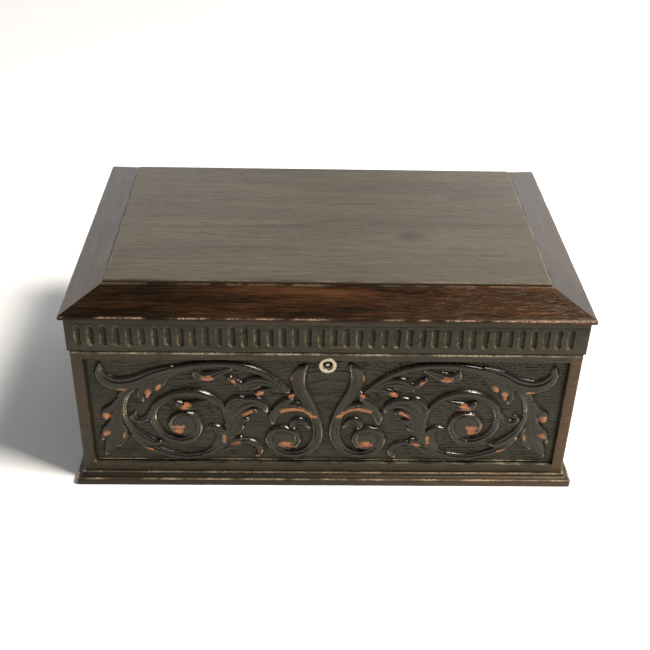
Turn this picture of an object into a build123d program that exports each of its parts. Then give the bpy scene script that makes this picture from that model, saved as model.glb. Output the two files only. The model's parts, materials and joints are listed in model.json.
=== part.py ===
"""Wooden money box with a carved front, a hinged lid and a box lock.

Millimetres, +Z up. X runs along the length of the box and the front faces -Y.
The origin lies on the ground under the middle of the base board.
"""
import os
from math import radians, tan

from build123d import *

os.makedirs("parts", exist_ok=True)

# Case: four boards on a moulded base board
case_length = 300.0
case_depth = 196.0
case_height = 91.2
wall = 12.0
lap = 6.0                       # board left over a side's end at each rebate

base_thickness = 7.0
base_project = 5.4              # nose of the base beyond the case
base_nose_round = 1.2
base_cove_rise = 2.2
base_cove_start = 1.6           # flat between the nose and the foot of the cove
base_arris = 1.2                # top edge of the cove beyond the case

# Recessed field of the front board, where the carving stands
field_side_margin = 7.2
field_top_margin = 6.2
field_bottom_margin = 6.9
field_recess = 2.7

# Lid: fluted rails, mitred bevels and a flat panel
joint_gap = 0.3
rail_overhang = 1.0
rail_height = 22.7
bevel_overhang = 2.7
bevel_edge = 2.2
bevel_width = 23.3
bevel_rise = 9.5
panel_proud = 1.5
panel_thickness = 7.4
panel_ledge = 6.0
panel_gap = 0.15
panel_round = 0.7

flute_pitch = 7.34
flute_radius = 2.0
flute_height = 13.0
flute_depth = 1.5
flute_low = 4.0                 # foot of a flute above the underside of the rail

# Butt hinges
hinge_length = 38.0
hinge_from_end = 60.0
barrel_radius = 2.0
hinge_pin_radius = 1.0
running_gap = 0.05
leaf_thickness = 1.2
leaf_inset = 1.0                # leaf edge to the inner face of the board
knuckles = 5
knuckle_gap = 0.15
barrel_relief = 0.4
stop_angle = 95.0               # opening at which the two rear bevels would meet

# Box lock
lock_half_width = 31.0
lock_height = 29.2
lock_plate_thickness = 1.2
lock_depth = 6.0
lock_case_half_width = 26.4
lock_case_wall = 0.8
lock_case_drop = 2.4            # case floor above the foot of the plate
key_drop = 9.2                  # key axis below the top edge of the case
bolt_throw = 3.6
bolt_thickness = 2.0
bolt_bar_height = 5.5
bolt_bar_drop = 15.7            # top of the bar below the top edge of the case
finger_height = 3.0
finger_drop = 2.4
riser_width = 2.2
stump_radius = 1.2
stump_gap = 0.1
hook_pitch = 28.0
hook_centre = -1.5              # middle of the two hooks' stems
hook_stem = 2.5
hook_foot = 3.0
hook_foot_height = 2.2
hook_thickness = 1.8
hook_length = 8.5
hook_clearance = 0.6
link_half_length = 27.0
link_depth = 8.0
link_thickness = 1.5
spring_thickness = 0.5
spring_length = 22.0
spring_foot = 3.0               # flat end under the bolt
spring_bow = 0.3                # share of its fall at mid length
spring_floor_gap = 1.0
finger_rest_gap = 0.4           # finger's end to the hook's foot when the bolt is drawn
finger_end_gap = 0.7            # thrown finger's riser to the hook's stem
talon_depth = 1.5               # notch for the key's bit
window_half_depth = 1.9         # openings of the selvedge for the hooks
stump_setback = 0.9             # middle of a stump in front of the plate's middle

ring_radius = 5.2
ring_bore = 3.25
ring_proud = 0.5
ring_round = 0.5                # eased edge of the ring's face
ring_depth = 4.5
drill_pin_radius = 1.3
drill_pin_back = 0.4            # riveted end inside the plate
drill_pin_recess = 1.0          # tip behind the face of the ring
drill_pin_chamfer = 0.4
keyhole_radius = 2.6            # of the lock's case
keyhole_drop = 3.25             # slot for the bit, below the key's axis

# Fasteners
screw_head = 2.1
screw_shank = 1.0
screw_slot_width = 0.5
screw_slot_depth = 0.4
hinge_screw_length = 9.0
lock_screw_length = 6.5
base_screw_head = 3.4
base_screw_shank = 1.6
base_screw_length = 24.0
pin_radius = 0.6
pin_length = 18.0
pin_sunk = 0.5                  # head of a pin below the surface
pin_cover = 1.0                 # wood left under the tip of a panel pin
panel_pin_end = 13.0            # outer panel pins to the ends of the panel

# Spacing of the fasteners, as shares of the board that they hold
base_screw_share = 0.75         # outer screws along the half length of the base
case_pin_shares = (0.16, 0.5, 0.82)
lock_screw_shares = (0.2, 0.75)
lid_pin_long_share = 0.6        # outer pins along the half length of a long rail
lid_pin_short_share = 0.5       # pins along the half depth of a side rail

# Planes and levels worked out from the sizes above
half_length = case_length / 2
half_depth = case_depth / 2
case_top = base_thickness + case_height
rail_bottom = case_top + joint_gap
rail_top = rail_bottom + rail_height
rail_half_length = half_length + rail_overhang
rail_half_depth = half_depth + rail_overhang
rail_wall = wall + rail_overhang
bevel_half_length = rail_half_length + bevel_overhang
bevel_half_depth = rail_half_depth + bevel_overhang
bevel_top = rail_top + bevel_edge + bevel_rise
panel_top = bevel_top + panel_proud
panel_bottom = panel_top - panel_thickness
panel_half_length = bevel_half_length - bevel_width - panel_gap
panel_half_depth = bevel_half_depth - bevel_width - panel_gap

hinge_y = half_depth - barrel_radius
hinge_z = case_top + joint_gap / 2
hinge_x = half_length - hinge_from_end
leaf_edge_y = half_depth - wall + leaf_inset
stop_slope = tan(radians(stop_angle / 2))
screw_y = (leaf_edge_y + hinge_y - barrel_radius) / 2

inner_y = -half_depth + wall
lock_front_y = inner_y - lock_depth
works_y = (lock_front_y + lock_case_wall + inner_y - lock_plate_thickness) / 2
key_z = case_top - key_drop
lock_foot = case_top - lock_height
case_floor = lock_foot + lock_case_drop
selvedge_z = case_top - lock_plate_thickness


def outward_plane(direction):
    """A section plane with its x pointing out of the box and its y up."""
    return Plane(origin=(0, 0, 0), x_dir=direction, z_dir=Vector(*direction).cross(Vector(0, 0, 1)))


def countersunk_screw(head_radius, shank_radius, length, slotted):
    """Head face at z = 0 and shank down -Z. Unslotted, it is the cutter for its own hole."""
    with BuildPart() as screw:
        with BuildSketch(Plane.XZ):
            with BuildLine():
                Polyline(
                    (0, 0),
                    (head_radius, 0),
                    (shank_radius, shank_radius - head_radius),
                    (shank_radius, shank_radius - length),
                    (0, -length),
                    close=True,
                )
            make_face()
        revolve(axis=Axis.Z)
        if slotted:
            Box(2 * head_radius, screw_slot_width, 2 * screw_slot_depth, mode=Mode.SUBTRACT)
    return screw.part


def finish(builder, name):
    """Label a finished piece and write its file."""
    builder.part.label = name
    export_step(builder.part, f"parts/{name}.step")


small_screw = countersunk_screw(screw_head, screw_shank, hinge_screw_length, True)
small_screw_hole = countersunk_screw(screw_head, screw_shank, hinge_screw_length, False)
lock_screw = countersunk_screw(screw_head, screw_shank, lock_screw_length, True)
lock_screw_hole = countersunk_screw(screw_head, screw_shank, lock_screw_length, False)
base_screw = countersunk_screw(base_screw_head, base_screw_shank, base_screw_length, True)
base_screw_hole = countersunk_screw(base_screw_head, base_screw_shank, base_screw_length, False)

# Where the fasteners go
base_screw_inset = wall / 2
base_screw_spots = [
    Location((x, y, 0), (180, 0, 0))
    for x in (-half_length * base_screw_share, 0, half_length * base_screw_share)
    for y in (-half_depth + base_screw_inset, half_depth - base_screw_inset)
] + [
    Location((x, 0, 0), (180, 0, 0))
    for x in (-half_length + base_screw_inset, half_length - base_screw_inset)
]
case_pin_spots = [
    Location((x, half_depth - pin_sunk, base_thickness + case_height * share), (-90, 0, 0))
    for x in (-half_length + wall / 2, half_length - wall / 2)
    for share in case_pin_shares
]
hinge_screw_offsets = (-hinge_length / 3, 0, hinge_length / 3)
hinge_screw_xs = [side * hinge_x + offset for side in (-1, 1) for offset in hinge_screw_offsets]
case_hinge_spots = [Location((x, screw_y, case_top)) for x in hinge_screw_xs]
lid_hinge_spots = [Location((x, screw_y, rail_bottom), (180, 0, 0)) for x in hinge_screw_xs]
lock_screw_x = (lock_half_width + lock_case_half_width) / 2
lock_screw_spots = [
    Location((x, inner_y, lock_foot + lock_height * share), (-90, 0, 0))
    for x in (-lock_screw_x, lock_screw_x)
    for share in lock_screw_shares
]
link_screw_spots = [
    Location((x, works_y, rail_bottom), (180, 0, 0))
    for x in (-link_half_length + 2 * screw_head, link_half_length - 2 * screw_head)
]
# A lid pin stands on the middle of a rail, under the slope of the bevel
lid_pin_inset = bevel_overhang + rail_wall / 2
lid_pin_z = rail_top + bevel_edge + lid_pin_inset * bevel_rise / bevel_width - pin_sunk
lid_pin_x = bevel_half_length - lid_pin_inset
lid_pin_y = bevel_half_depth - lid_pin_inset
long_rail_pin_x = lid_pin_x * lid_pin_long_share
side_rail_pin_y = lid_pin_y * lid_pin_short_share
lid_pin_spots = [
    Location((x, y, lid_pin_z))
    for x in (-long_rail_pin_x, 0, long_rail_pin_x)
    for y in (-lid_pin_y, lid_pin_y)
] + [
    Location((x, y, lid_pin_z))
    for x in (-lid_pin_x, lid_pin_x)
    for y in (-side_rail_pin_y, side_rail_pin_y)
]
panel_pin_inset = panel_ledge / 2
panel_pin_spots = [
    Location((x, y, panel_top - pin_sunk))
    for x in (-panel_half_length + panel_pin_end, 0, panel_half_length - panel_pin_end)
    for y in (-panel_half_depth + panel_pin_inset, panel_half_depth - panel_pin_inset)
]
panel_pin_length = panel_top - pin_sunk - rail_top - pin_cover


def pin_blank(length):
    """A headless panel pin with its top at z = 0."""
    with BuildPart() as blank:
        Cylinder(pin_radius, length, align=(Align.CENTER, Align.CENTER, Align.MAX))
    return blank.part


def pin_cutter(length):
    """The hole of a panel pin, open above the sunk head."""
    with BuildPart() as cutter:
        Cylinder(pin_radius, length, align=(Align.CENTER, Align.CENTER, Align.MAX))
        Cylinder(pin_radius, 2 * pin_sunk, align=(Align.CENTER, Align.CENTER, Align.MIN))
    return cutter.part


def cut_at(spots, cutter):
    """Subtract a cutter at each spot from the piece being built."""
    with Locations(*spots):
        add(cutter, mode=Mode.SUBTRACT)


def box_between(low, high, mode=Mode.ADD):
    """A block between two corners."""
    size = [b - a for a, b in zip(low, high)]
    middle = [(a + b) / 2 for a, b in zip(low, high)]
    with Locations(tuple(middle)):
        Box(*size, mode=mode)


def fastener_group(name, spots, fastener):
    """Separate identical fasteners as one node."""
    with BuildPart() as group:
        with Locations(*spots):
            add(fastener)
    finish(group, name)


# --- Case -----------------------------------------------------------------------------------

def hinge_mortises(top_z, sign):
    """Let both leaves and both barrels into a board: sign is -1 in the case and 1 in the lid."""
    low_z, high_z = sorted((top_z, top_z + sign * leaf_thickness))
    for side in (-1, 1):
        left = side * hinge_x - hinge_length / 2
        box_between((left, leaf_edge_y, low_z), (left + hinge_length, hinge_y, high_z), Mode.SUBTRACT)
        with Locations(Location((side * hinge_x, hinge_y, hinge_z), (0, 90, 0))):
            Cylinder(barrel_radius + barrel_relief, hinge_length + 2 * barrel_relief, mode=Mode.SUBTRACT)


with BuildPart() as front_board:
    box_between((-half_length, -half_depth, base_thickness), (half_length, inner_y, case_top))
    # rebates over the ends of the sides
    for side in (-1, 1):
        ends = sorted((side * half_length, side * (half_length - wall)))
        box_between(
            (ends[0], -half_depth + lap, base_thickness),
            (ends[1], inner_y, case_top),
            Mode.SUBTRACT,
        )
    # recessed field
    box_between(
        (-half_length + field_side_margin, -half_depth, base_thickness + field_bottom_margin),
        (half_length - field_side_margin, -half_depth + field_recess, case_top - field_top_margin),
        Mode.SUBTRACT,
    )
    # pockets for the lock's plate, its selvedge and its case
    box_between(
        (-lock_half_width, inner_y - lock_plate_thickness, lock_foot),
        (lock_half_width, inner_y, case_top),
        Mode.SUBTRACT,
    )
    box_between(
        (-lock_half_width, lock_front_y, selvedge_z),
        (lock_half_width, inner_y, case_top),
        Mode.SUBTRACT,
    )
    box_between(
        (-lock_case_half_width, lock_front_y, case_floor),
        (lock_case_half_width, inner_y, selvedge_z),
        Mode.SUBTRACT,
    )
    # key bore and the seat of its ring
    with Locations(Location((0, -half_depth, key_z), (90, 0, 0))):
        Cylinder(ring_bore, 2 * wall, mode=Mode.SUBTRACT)
        Cylinder(ring_radius, 2 * (ring_depth - ring_proud), mode=Mode.SUBTRACT)
    cut_at(lock_screw_spots, lock_screw_hole)
    cut_at(base_screw_spots, base_screw_hole)
finish(front_board, "front_board")

with BuildPart() as back_board:
    box_between((-half_length, half_depth - wall, base_thickness), (half_length, half_depth, case_top))
    for side in (-1, 1):
        ends = sorted((side * half_length, side * (half_length - wall)))
        box_between(
            (ends[0], half_depth - wall, base_thickness),
            (ends[1], half_depth - lap, case_top),
            Mode.SUBTRACT,
        )
    # rear top edge bevelled on a plane through the hinge axis, as the lid's stop
    with BuildSketch(Plane.YZ):
        with BuildLine():
            Polyline(
                (hinge_y + joint_gap / 2 / stop_slope, case_top),
                (half_depth, hinge_z - barrel_radius * stop_slope),
                (half_depth, case_top),
                close=True,
            )
        make_face()
    extrude(amount=half_length, both=True, mode=Mode.SUBTRACT)
    hinge_mortises(case_top, -1)
    cut_at(case_hinge_spots, small_screw_hole)
    cut_at(case_pin_spots, pin_cutter(pin_length))
    cut_at(base_screw_spots, base_screw_hole)
finish(back_board, "back_board")


def side_board(name, side):
    """A plain side between the rebates, with its outer face at the end of the case."""
    ends = sorted((side * half_length, side * (half_length - wall)))
    with BuildPart() as board:
        box_between((ends[0], -half_depth + lap, base_thickness), (ends[1], half_depth - lap, case_top))
        cut_at(case_pin_spots, pin_cutter(pin_length))
        cut_at(base_screw_spots, base_screw_hole)
    finish(board, name)


side_board("left_side", -1)
side_board("right_side", 1)


def base_section(half_span):
    """Half of the base board's section, from its middle to the moulded nose."""
    nose = half_span + base_project
    nose_top = base_thickness - base_cove_rise
    cove_foot = nose - base_cove_start
    cove_head = half_span + base_arris
    hollow = 0.29
    with BuildLine() as outline:
        Polyline((0, 0), (nose, 0), (nose, nose_top - base_nose_round))
        RadiusArc(
            (nose, nose_top - base_nose_round),
            (nose - base_nose_round, nose_top),
            -base_nose_round,
        )
        Line((nose - base_nose_round, nose_top), (cove_foot, nose_top))
        ThreePointArc(
            (cove_foot, nose_top),
            (cove_head + hollow * (cove_foot - cove_head), nose_top + hollow * base_cove_rise),
            (cove_head, base_thickness),
        )
        Polyline((cove_head, base_thickness), (0, base_thickness), (0, 0))
    return outline.edges()


with BuildPart() as base_board:
    with BuildSketch(Plane.YZ):
        make_face(base_section(half_depth))
        mirror(about=Plane.YZ)
    extrude(amount=half_length + base_project, both=True)
    with BuildSketch(Plane.XZ):
        make_face(base_section(half_length))
        mirror(about=Plane.YZ)
    extrude(amount=half_depth + base_project, both=True, mode=Mode.INTERSECT)
    cut_at(base_screw_spots, base_screw_hole)
finish(base_board, "base_board")

fastener_group("base_screws", base_screw_spots, base_screw)
fastener_group("case_pins", case_pin_spots, pin_blank(pin_length))

# --- Lid ------------------------------------------------------------------------------------

# One gouge cut: a round-nosed groove with ball ends, sunk flute_depth into the face
flute_ball = (flute_radius**2 + flute_depth**2) / (2 * flute_depth)
flute_run = flute_height - 2 * flute_radius

with BuildPart() as flute_cutter:
    Cylinder(flute_ball, flute_run)
    with Locations((0, 0, -flute_run / 2), (0, 0, flute_run / 2)):
        Sphere(flute_ball)

flute_z = rail_bottom + flute_low + flute_height / 2


def flute_spots(half_span):
    """Centres of the flutes along one rail, an even number either side of the middle."""
    count = round(2 * half_span / flute_pitch) - 1
    return [(i - (count - 1) / 2) * flute_pitch for i in range(count)]


with BuildPart() as lid_rail_front:
    box_between((-rail_half_length, -rail_half_depth, rail_bottom), (rail_half_length, inner_y, rail_top))
    for side in (-1, 1):
        ends = sorted((side * rail_half_length, side * (rail_half_length - rail_wall)))
        box_between(
            (ends[0], -rail_half_depth + lap, rail_bottom),
            (ends[1], inner_y, rail_top),
            Mode.SUBTRACT,
        )
    flute_y = -rail_half_depth - flute_ball + flute_depth
    with Locations(*[(x, flute_y, flute_z) for x in flute_spots(rail_half_length)]):
        add(flute_cutter.part, mode=Mode.SUBTRACT)
    box_between(
        (-link_half_length, works_y - link_depth / 2, rail_bottom),
        (link_half_length, works_y + link_depth / 2, rail_bottom + link_thickness),
        Mode.SUBTRACT,
    )
    cut_at(link_screw_spots, small_screw_hole)
    cut_at(lid_pin_spots, pin_cutter(pin_length))
finish(lid_rail_front, "lid_rail_front")

with BuildPart() as lid_rail_back:
    box_between(
        (-rail_half_length, half_depth - wall, rail_bottom),
        (rail_half_length, rail_half_depth, rail_top),
    )
    for side in (-1, 1):
        ends = sorted((side * rail_half_length, side * (rail_half_length - rail_wall)))
        box_between(
            (ends[0], half_depth - wall, rail_bottom),
            (ends[1], rail_half_depth - lap, rail_top),
            Mode.SUBTRACT,
        )
    # rear lower edge bevelled to meet the back board's bevel when the lid is open
    with BuildSketch(Plane.YZ):
        with BuildLine():
            Polyline(
                (hinge_y + joint_gap / 2 / stop_slope, rail_bottom),
                (rail_half_depth, hinge_z + (rail_half_depth - hinge_y) * stop_slope),
                (rail_half_depth, rail_bottom),
                close=True,
            )
        make_face()
    extrude(amount=rail_half_length, both=True, mode=Mode.SUBTRACT)
    hinge_mortises(rail_bottom, 1)
    cut_at(lid_hinge_spots, small_screw_hole)
    cut_at(lid_pin_spots, pin_cutter(pin_length))
finish(lid_rail_back, "lid_rail_back")


def side_rail(name, side):
    """A side rail of the lid between the rebates, fluted on its outer face."""
    ends = sorted((side * rail_half_length, side * (rail_half_length - rail_wall)))
    with BuildPart() as rail:
        box_between(
            (ends[0], -rail_half_depth + lap, rail_bottom),
            (ends[1], rail_half_depth - lap, rail_top),
        )
        flute_x = side * (rail_half_length + flute_ball - flute_depth)
        inside = [y for y in flute_spots(rail_half_depth) if abs(y) < rail_half_depth - lap - flute_radius]
        with Locations(*[(flute_x, y, flute_z) for y in inside]):
            add(flute_cutter.part, mode=Mode.SUBTRACT)
        cut_at(lid_pin_spots, pin_cutter(pin_length))
    finish(rail, name)


side_rail("lid_rail_left", -1)
side_rail("lid_rail_right", 1)


def bevel_moulding(name, direction, half_span, half_run):
    """One bevelled moulding, mitred at both ends, with a ledge for the panel inside it."""
    section_plane = outward_plane(direction)
    inside = half_span - bevel_width
    ledge_inside = inside - panel_ledge
    with BuildPart() as moulding:
        with BuildSketch(section_plane):
            with BuildLine():
                Polyline(
                    (half_span, rail_top),
                    (half_span, rail_top + bevel_edge),
                    (inside, bevel_top),
                    (inside, panel_bottom),
                    (ledge_inside, panel_bottom),
                    (ledge_inside, rail_top),
                    close=True,
                )
            make_face()
        extrude(amount=half_run, both=True)
        # 45-degree mitres through the corners of the frame
        back_off = half_span - ledge_inside
        with BuildSketch(Plane(origin=(0, 0, rail_top), x_dir=direction, z_dir=(0, 0, 1))):
            with BuildLine():
                Polyline(
                    (half_span, -half_run),
                    (half_span, half_run),
                    (ledge_inside, half_run - back_off),
                    (ledge_inside, back_off - half_run),
                    close=True,
                )
            make_face()
        extrude(amount=bevel_top - rail_top, mode=Mode.INTERSECT)
        cut_at(lid_pin_spots, pin_cutter(pin_length))
        cut_at(panel_pin_spots, pin_cutter(panel_pin_length))
    finish(moulding, name)


bevel_moulding("lid_bevel_front", (0, -1, 0), bevel_half_depth, bevel_half_length)
bevel_moulding("lid_bevel_back", (0, 1, 0), bevel_half_depth, bevel_half_length)
bevel_moulding("lid_bevel_left", (-1, 0, 0), bevel_half_length, bevel_half_depth)
bevel_moulding("lid_bevel_right", (1, 0, 0), bevel_half_length, bevel_half_depth)

with BuildPart() as top_panel:
    box_between(
        (-panel_half_length, -panel_half_depth, panel_bottom),
        (panel_half_length, panel_half_depth, panel_top),
    )
    fillet(top_panel.faces().sort_by(Axis.Z)[-1].edges(), panel_round)
    cut_at(panel_pin_spots, pin_cutter(panel_pin_length))
finish(top_panel, "top_panel")

fastener_group("lid_pins", lid_pin_spots, pin_blank(pin_length))
fastener_group("panel_pins", panel_pin_spots, pin_blank(panel_pin_length))

# --- Hinges ---------------------------------------------------------------------------------

knuckle_length = hinge_length / knuckles


def hinge_leaf(name, side, sign):
    """A leaf with its own knuckles: sign is -1 for the case's leaf and 1 for the lid's."""
    face_z = case_top if sign < 0 else rail_bottom
    low_z, high_z = sorted((face_z, face_z + sign * leaf_thickness))
    left = side * hinge_x - hinge_length / 2
    own = range(0 if sign < 0 else 1, knuckles, 2)
    plate_edge_y = hinge_y - barrel_radius - barrel_relief
    with BuildPart() as leaf:
        box_between((left, leaf_edge_y, low_z), (left + hinge_length, plate_edge_y, high_z))
        for k in own:
            start = left + k * knuckle_length + knuckle_gap / 2
            stop = start + knuckle_length - knuckle_gap
            box_between((start, plate_edge_y, low_z), (stop, hinge_y, high_z))
            with Locations(Location(((start + stop) / 2, hinge_y, hinge_z), (0, 90, 0))):
                Cylinder(barrel_radius, stop - start)
        with Locations(Location((side * hinge_x, hinge_y, hinge_z), (0, 90, 0))):
            Cylinder(hinge_pin_radius + running_gap, 2 * hinge_length, mode=Mode.SUBTRACT)
        cut_at(case_hinge_spots if sign < 0 else lid_hinge_spots, small_screw_hole)
    finish(leaf, name)


for side, word in ((-1, "left"), (1, "right")):
    hinge_leaf(f"{word}_hinge_case_leaf", side, -1)
    hinge_leaf(f"{word}_hinge_lid_leaf", side, 1)
    with BuildPart() as hinge_pin:
        with Locations(Location((side * hinge_x, hinge_y, hinge_z), (0, 90, 0))):
            Cylinder(hinge_pin_radius, hinge_length)
    finish(hinge_pin, f"{word}_hinge_pin")

fastener_group("hinge_case_screws", case_hinge_spots, small_screw)
fastener_group("hinge_lid_screws", lid_hinge_spots, small_screw)

# --- Lock -----------------------------------------------------------------------------------

hook_xs = (hook_centre - hook_pitch / 2, hook_centre + hook_pitch / 2)
stump_z = case_top - bolt_bar_drop - bolt_bar_height / 2
stump_xs = (hook_xs[0] + hook_stem, hook_xs[1] - 2 * hook_stem)

with BuildPart() as lock_plate:
    box_between(
        (-lock_half_width, inner_y - lock_plate_thickness, lock_foot),
        (lock_half_width, inner_y, case_top),
    )
    box_between((-lock_half_width, lock_front_y, selvedge_z), (lock_half_width, inner_y, case_top))
    # windows in the selvedge for the hooks
    for hook_x in hook_xs:
        box_between(
            (hook_x - hook_foot - hook_clearance, works_y - window_half_depth, selvedge_z),
            (hook_x + hook_stem + hook_clearance, works_y + window_half_depth, case_top),
            Mode.SUBTRACT,
        )
    # stumps that the bolt slides on
    for stump_x in stump_xs:
        with Locations(Location((stump_x, (works_y + inner_y) / 2 - stump_setback, stump_z), (90, 0, 0))):
            Cylinder(stump_radius, inner_y - works_y)
    # rivet hole of the drill pin
    with Locations(Location((0, inner_y - lock_plate_thickness / 2 - drill_pin_back, key_z), (90, 0, 0))):
        Cylinder(drill_pin_radius, lock_plate_thickness, mode=Mode.SUBTRACT)
    cut_at(lock_screw_spots, lock_screw_hole)
finish(lock_plate, "lock_plate")

works_back_y = inner_y - lock_plate_thickness

with BuildPart() as lock_cap:
    box_between(
        (-lock_case_half_width, lock_front_y, case_floor),
        (lock_case_half_width, works_back_y, selvedge_z),
    )
    inner_half_width = lock_case_half_width - lock_case_wall
    box_between(
        (-inner_half_width, lock_front_y + lock_case_wall, case_floor + lock_case_wall),
        (inner_half_width, works_back_y, selvedge_z),
        Mode.SUBTRACT,
    )
    # keyhole: round for the pipe, with a slot down for the bit
    with Locations(Location((0, lock_front_y, key_z), (90, 0, 0))):
        Cylinder(keyhole_radius, 4 * lock_case_wall, mode=Mode.SUBTRACT)
    box_between(
        (-lock_case_wall, lock_front_y, key_z - keyhole_drop),
        (lock_case_wall, lock_front_y + lock_case_wall, key_z),
        Mode.SUBTRACT,
    )
finish(lock_cap, "lock_cap")

with BuildPart() as drill_pin:
    pin_tip_y = -half_depth - ring_proud + drill_pin_recess
    with Locations(Location((0, (inner_y - drill_pin_back + pin_tip_y) / 2, key_z), (90, 0, 0))):
        Cylinder(drill_pin_radius, inner_y - drill_pin_back - pin_tip_y)
    chamfer(drill_pin.edges().sort_by(Axis.Y)[0], drill_pin_chamfer)
finish(drill_pin, "drill_pin")

bolt_bar_top = case_top - bolt_bar_drop
bolt_bar_bottom = bolt_bar_top - bolt_bar_height
finger_top = case_top - finger_drop
finger_bottom = finger_top - finger_height
bolt_low_y = works_y - bolt_thickness / 2
bolt_high_y = works_y + bolt_thickness / 2
# A finger at rest stops short of its hook's foot, and its riser never reaches the foot
finger_ends = [hook_x - hook_foot - hook_clearance - finger_rest_gap for hook_x in hook_xs]
finger_length = bolt_throw + riser_width - finger_end_gap

with BuildPart() as lock_bolt:
    for finger_end in finger_ends:
        box_between(
            (finger_end - finger_length, bolt_low_y, finger_bottom),
            (finger_end, bolt_high_y, finger_top),
        )
        box_between(
            (finger_end - finger_length, bolt_low_y, bolt_bar_bottom),
            (finger_end - finger_length + riser_width, bolt_high_y, finger_top),
        )
    box_between(
        (finger_ends[0] - finger_length, bolt_low_y, bolt_bar_bottom),
        (stump_xs[1] + 3 * stump_radius, bolt_high_y, bolt_bar_top),
    )
    # talon for the key's bit
    box_between(
        (-riser_width, bolt_low_y, bolt_bar_top - talon_depth),
        (riser_width - bolt_throw / 2, bolt_high_y, bolt_bar_top),
        Mode.SUBTRACT,
    )
    # slots that run on the stumps: the bolt rests at their right-hand ends
    with BuildSketch(Plane.XZ.offset(-bolt_high_y)):
        with Locations(*[(stump_x - bolt_throw / 2, stump_z) for stump_x in stump_xs]):
            SlotOverall(bolt_throw + 2 * (stump_radius + stump_gap), 2 * (stump_radius + stump_gap))
    extrude(amount=bolt_thickness, mode=Mode.SUBTRACT)
finish(lock_bolt, "lock_bolt")

with BuildPart() as bolt_spring:
    spring_start = finger_ends[0] - finger_length + riser_width
    spring_bend = spring_start + spring_foot
    spring_end = spring_start + spring_length
    spring_middle = (spring_bend + spring_end) / 2
    spring_dip = bolt_bar_bottom - case_floor - lock_case_wall - spring_floor_gap
    spring_under = bolt_bar_bottom - spring_thickness
    with BuildSketch(Plane.XZ.offset(-works_y - hook_thickness / 2)):
        with BuildLine():
            Line((spring_start, bolt_bar_bottom), (spring_bend, bolt_bar_bottom))
            ThreePointArc(
                (spring_bend, bolt_bar_bottom),
                (spring_middle, bolt_bar_bottom - spring_bow * spring_dip),
                (spring_end, bolt_bar_bottom - spring_dip),
            )
            Line((spring_end, bolt_bar_bottom - spring_dip), (spring_end, spring_under - spring_dip))
            ThreePointArc(
                (spring_end, spring_under - spring_dip),
                (spring_middle, spring_under - spring_bow * spring_dip),
                (spring_bend, spring_under),
            )
            Polyline(
                (spring_bend, spring_under),
                (spring_start, spring_under),
                (spring_start, bolt_bar_bottom),
            )
        make_face()
    extrude(amount=hook_thickness)
finish(bolt_spring, "bolt_spring")

with BuildPart() as link_plate:
    box_between(
        (-link_half_length, works_y - link_depth / 2, rail_bottom),
        (link_half_length, works_y + link_depth / 2, rail_bottom + link_thickness),
    )
    for hook_x in hook_xs:
        low_y = works_y - hook_thickness / 2
        high_y = works_y + hook_thickness / 2
        box_between(
            (hook_x, low_y, rail_bottom - hook_length),
            (hook_x + hook_stem, high_y, rail_bottom + link_thickness / 2),
        )
        box_between(
            (hook_x - hook_foot, low_y, rail_bottom - hook_length),
            (hook_x, high_y, rail_bottom - hook_length + hook_foot_height),
        )
    cut_at(link_screw_spots, small_screw_hole)
finish(link_plate, "link_plate")

fastener_group("lock_screws", lock_screw_spots, lock_screw)
fastener_group("link_screws", link_screw_spots, small_screw)

with BuildPart() as escutcheon_ring:
    with Locations(Location((0, -half_depth + ring_depth / 2 - ring_proud, key_z), (90, 0, 0))):
        Cylinder(ring_radius, ring_depth)
        Cylinder(ring_bore, ring_depth, mode=Mode.SUBTRACT)
    fillet(escutcheon_ring.edges().group_by(Axis.Y)[0], ring_round)
finish(escutcheon_ring, "escutcheon_ring")
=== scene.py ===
"""Looks for the wooden money box: carved front, fluted frieze, bevelled lid, moulded base and brass."""
import json
import math

import bpy
import numpy as np
from mathutils import Matrix, Vector


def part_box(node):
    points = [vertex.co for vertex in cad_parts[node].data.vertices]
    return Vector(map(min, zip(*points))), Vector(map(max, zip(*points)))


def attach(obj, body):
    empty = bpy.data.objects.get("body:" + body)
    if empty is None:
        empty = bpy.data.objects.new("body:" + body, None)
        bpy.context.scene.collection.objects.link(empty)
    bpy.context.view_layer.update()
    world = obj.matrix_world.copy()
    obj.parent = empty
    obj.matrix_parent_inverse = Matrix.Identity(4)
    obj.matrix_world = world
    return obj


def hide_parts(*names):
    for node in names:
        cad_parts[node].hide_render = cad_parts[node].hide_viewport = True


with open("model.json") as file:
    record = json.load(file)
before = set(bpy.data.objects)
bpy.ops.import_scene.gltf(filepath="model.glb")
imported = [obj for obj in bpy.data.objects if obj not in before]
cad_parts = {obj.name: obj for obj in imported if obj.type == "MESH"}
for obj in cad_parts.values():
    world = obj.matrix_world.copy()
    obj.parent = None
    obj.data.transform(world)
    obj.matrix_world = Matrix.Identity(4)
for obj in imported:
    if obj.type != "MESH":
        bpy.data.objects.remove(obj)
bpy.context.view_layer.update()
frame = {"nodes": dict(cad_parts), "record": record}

MM = 0.001
SEED = 41

# ---------------------------------------------------------------- sizes taken from the frame

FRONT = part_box("front_board")
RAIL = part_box("lid_rail_front")
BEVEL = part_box("lid_bevel_front")
SIDE_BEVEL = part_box("lid_bevel_right")
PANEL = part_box("top_panel")
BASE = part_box("base_board")
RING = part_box("escutcheon_ring")
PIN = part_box("drill_pin")
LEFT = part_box("left_side")
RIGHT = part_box("right_side")
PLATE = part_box("lock_plate")
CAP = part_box("lock_cap")
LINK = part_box("link_plate")

HALF_LENGTH = FRONT[1].x
CASE_FOOT = FRONT[0].z
CASE_TOP = FRONT[1].z
KEY = (RING[0] + RING[1]) / 2
RING_HALF = (RING[1].x - RING[0].x) / 2 / MM
SLACK = 1 * MM

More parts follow.
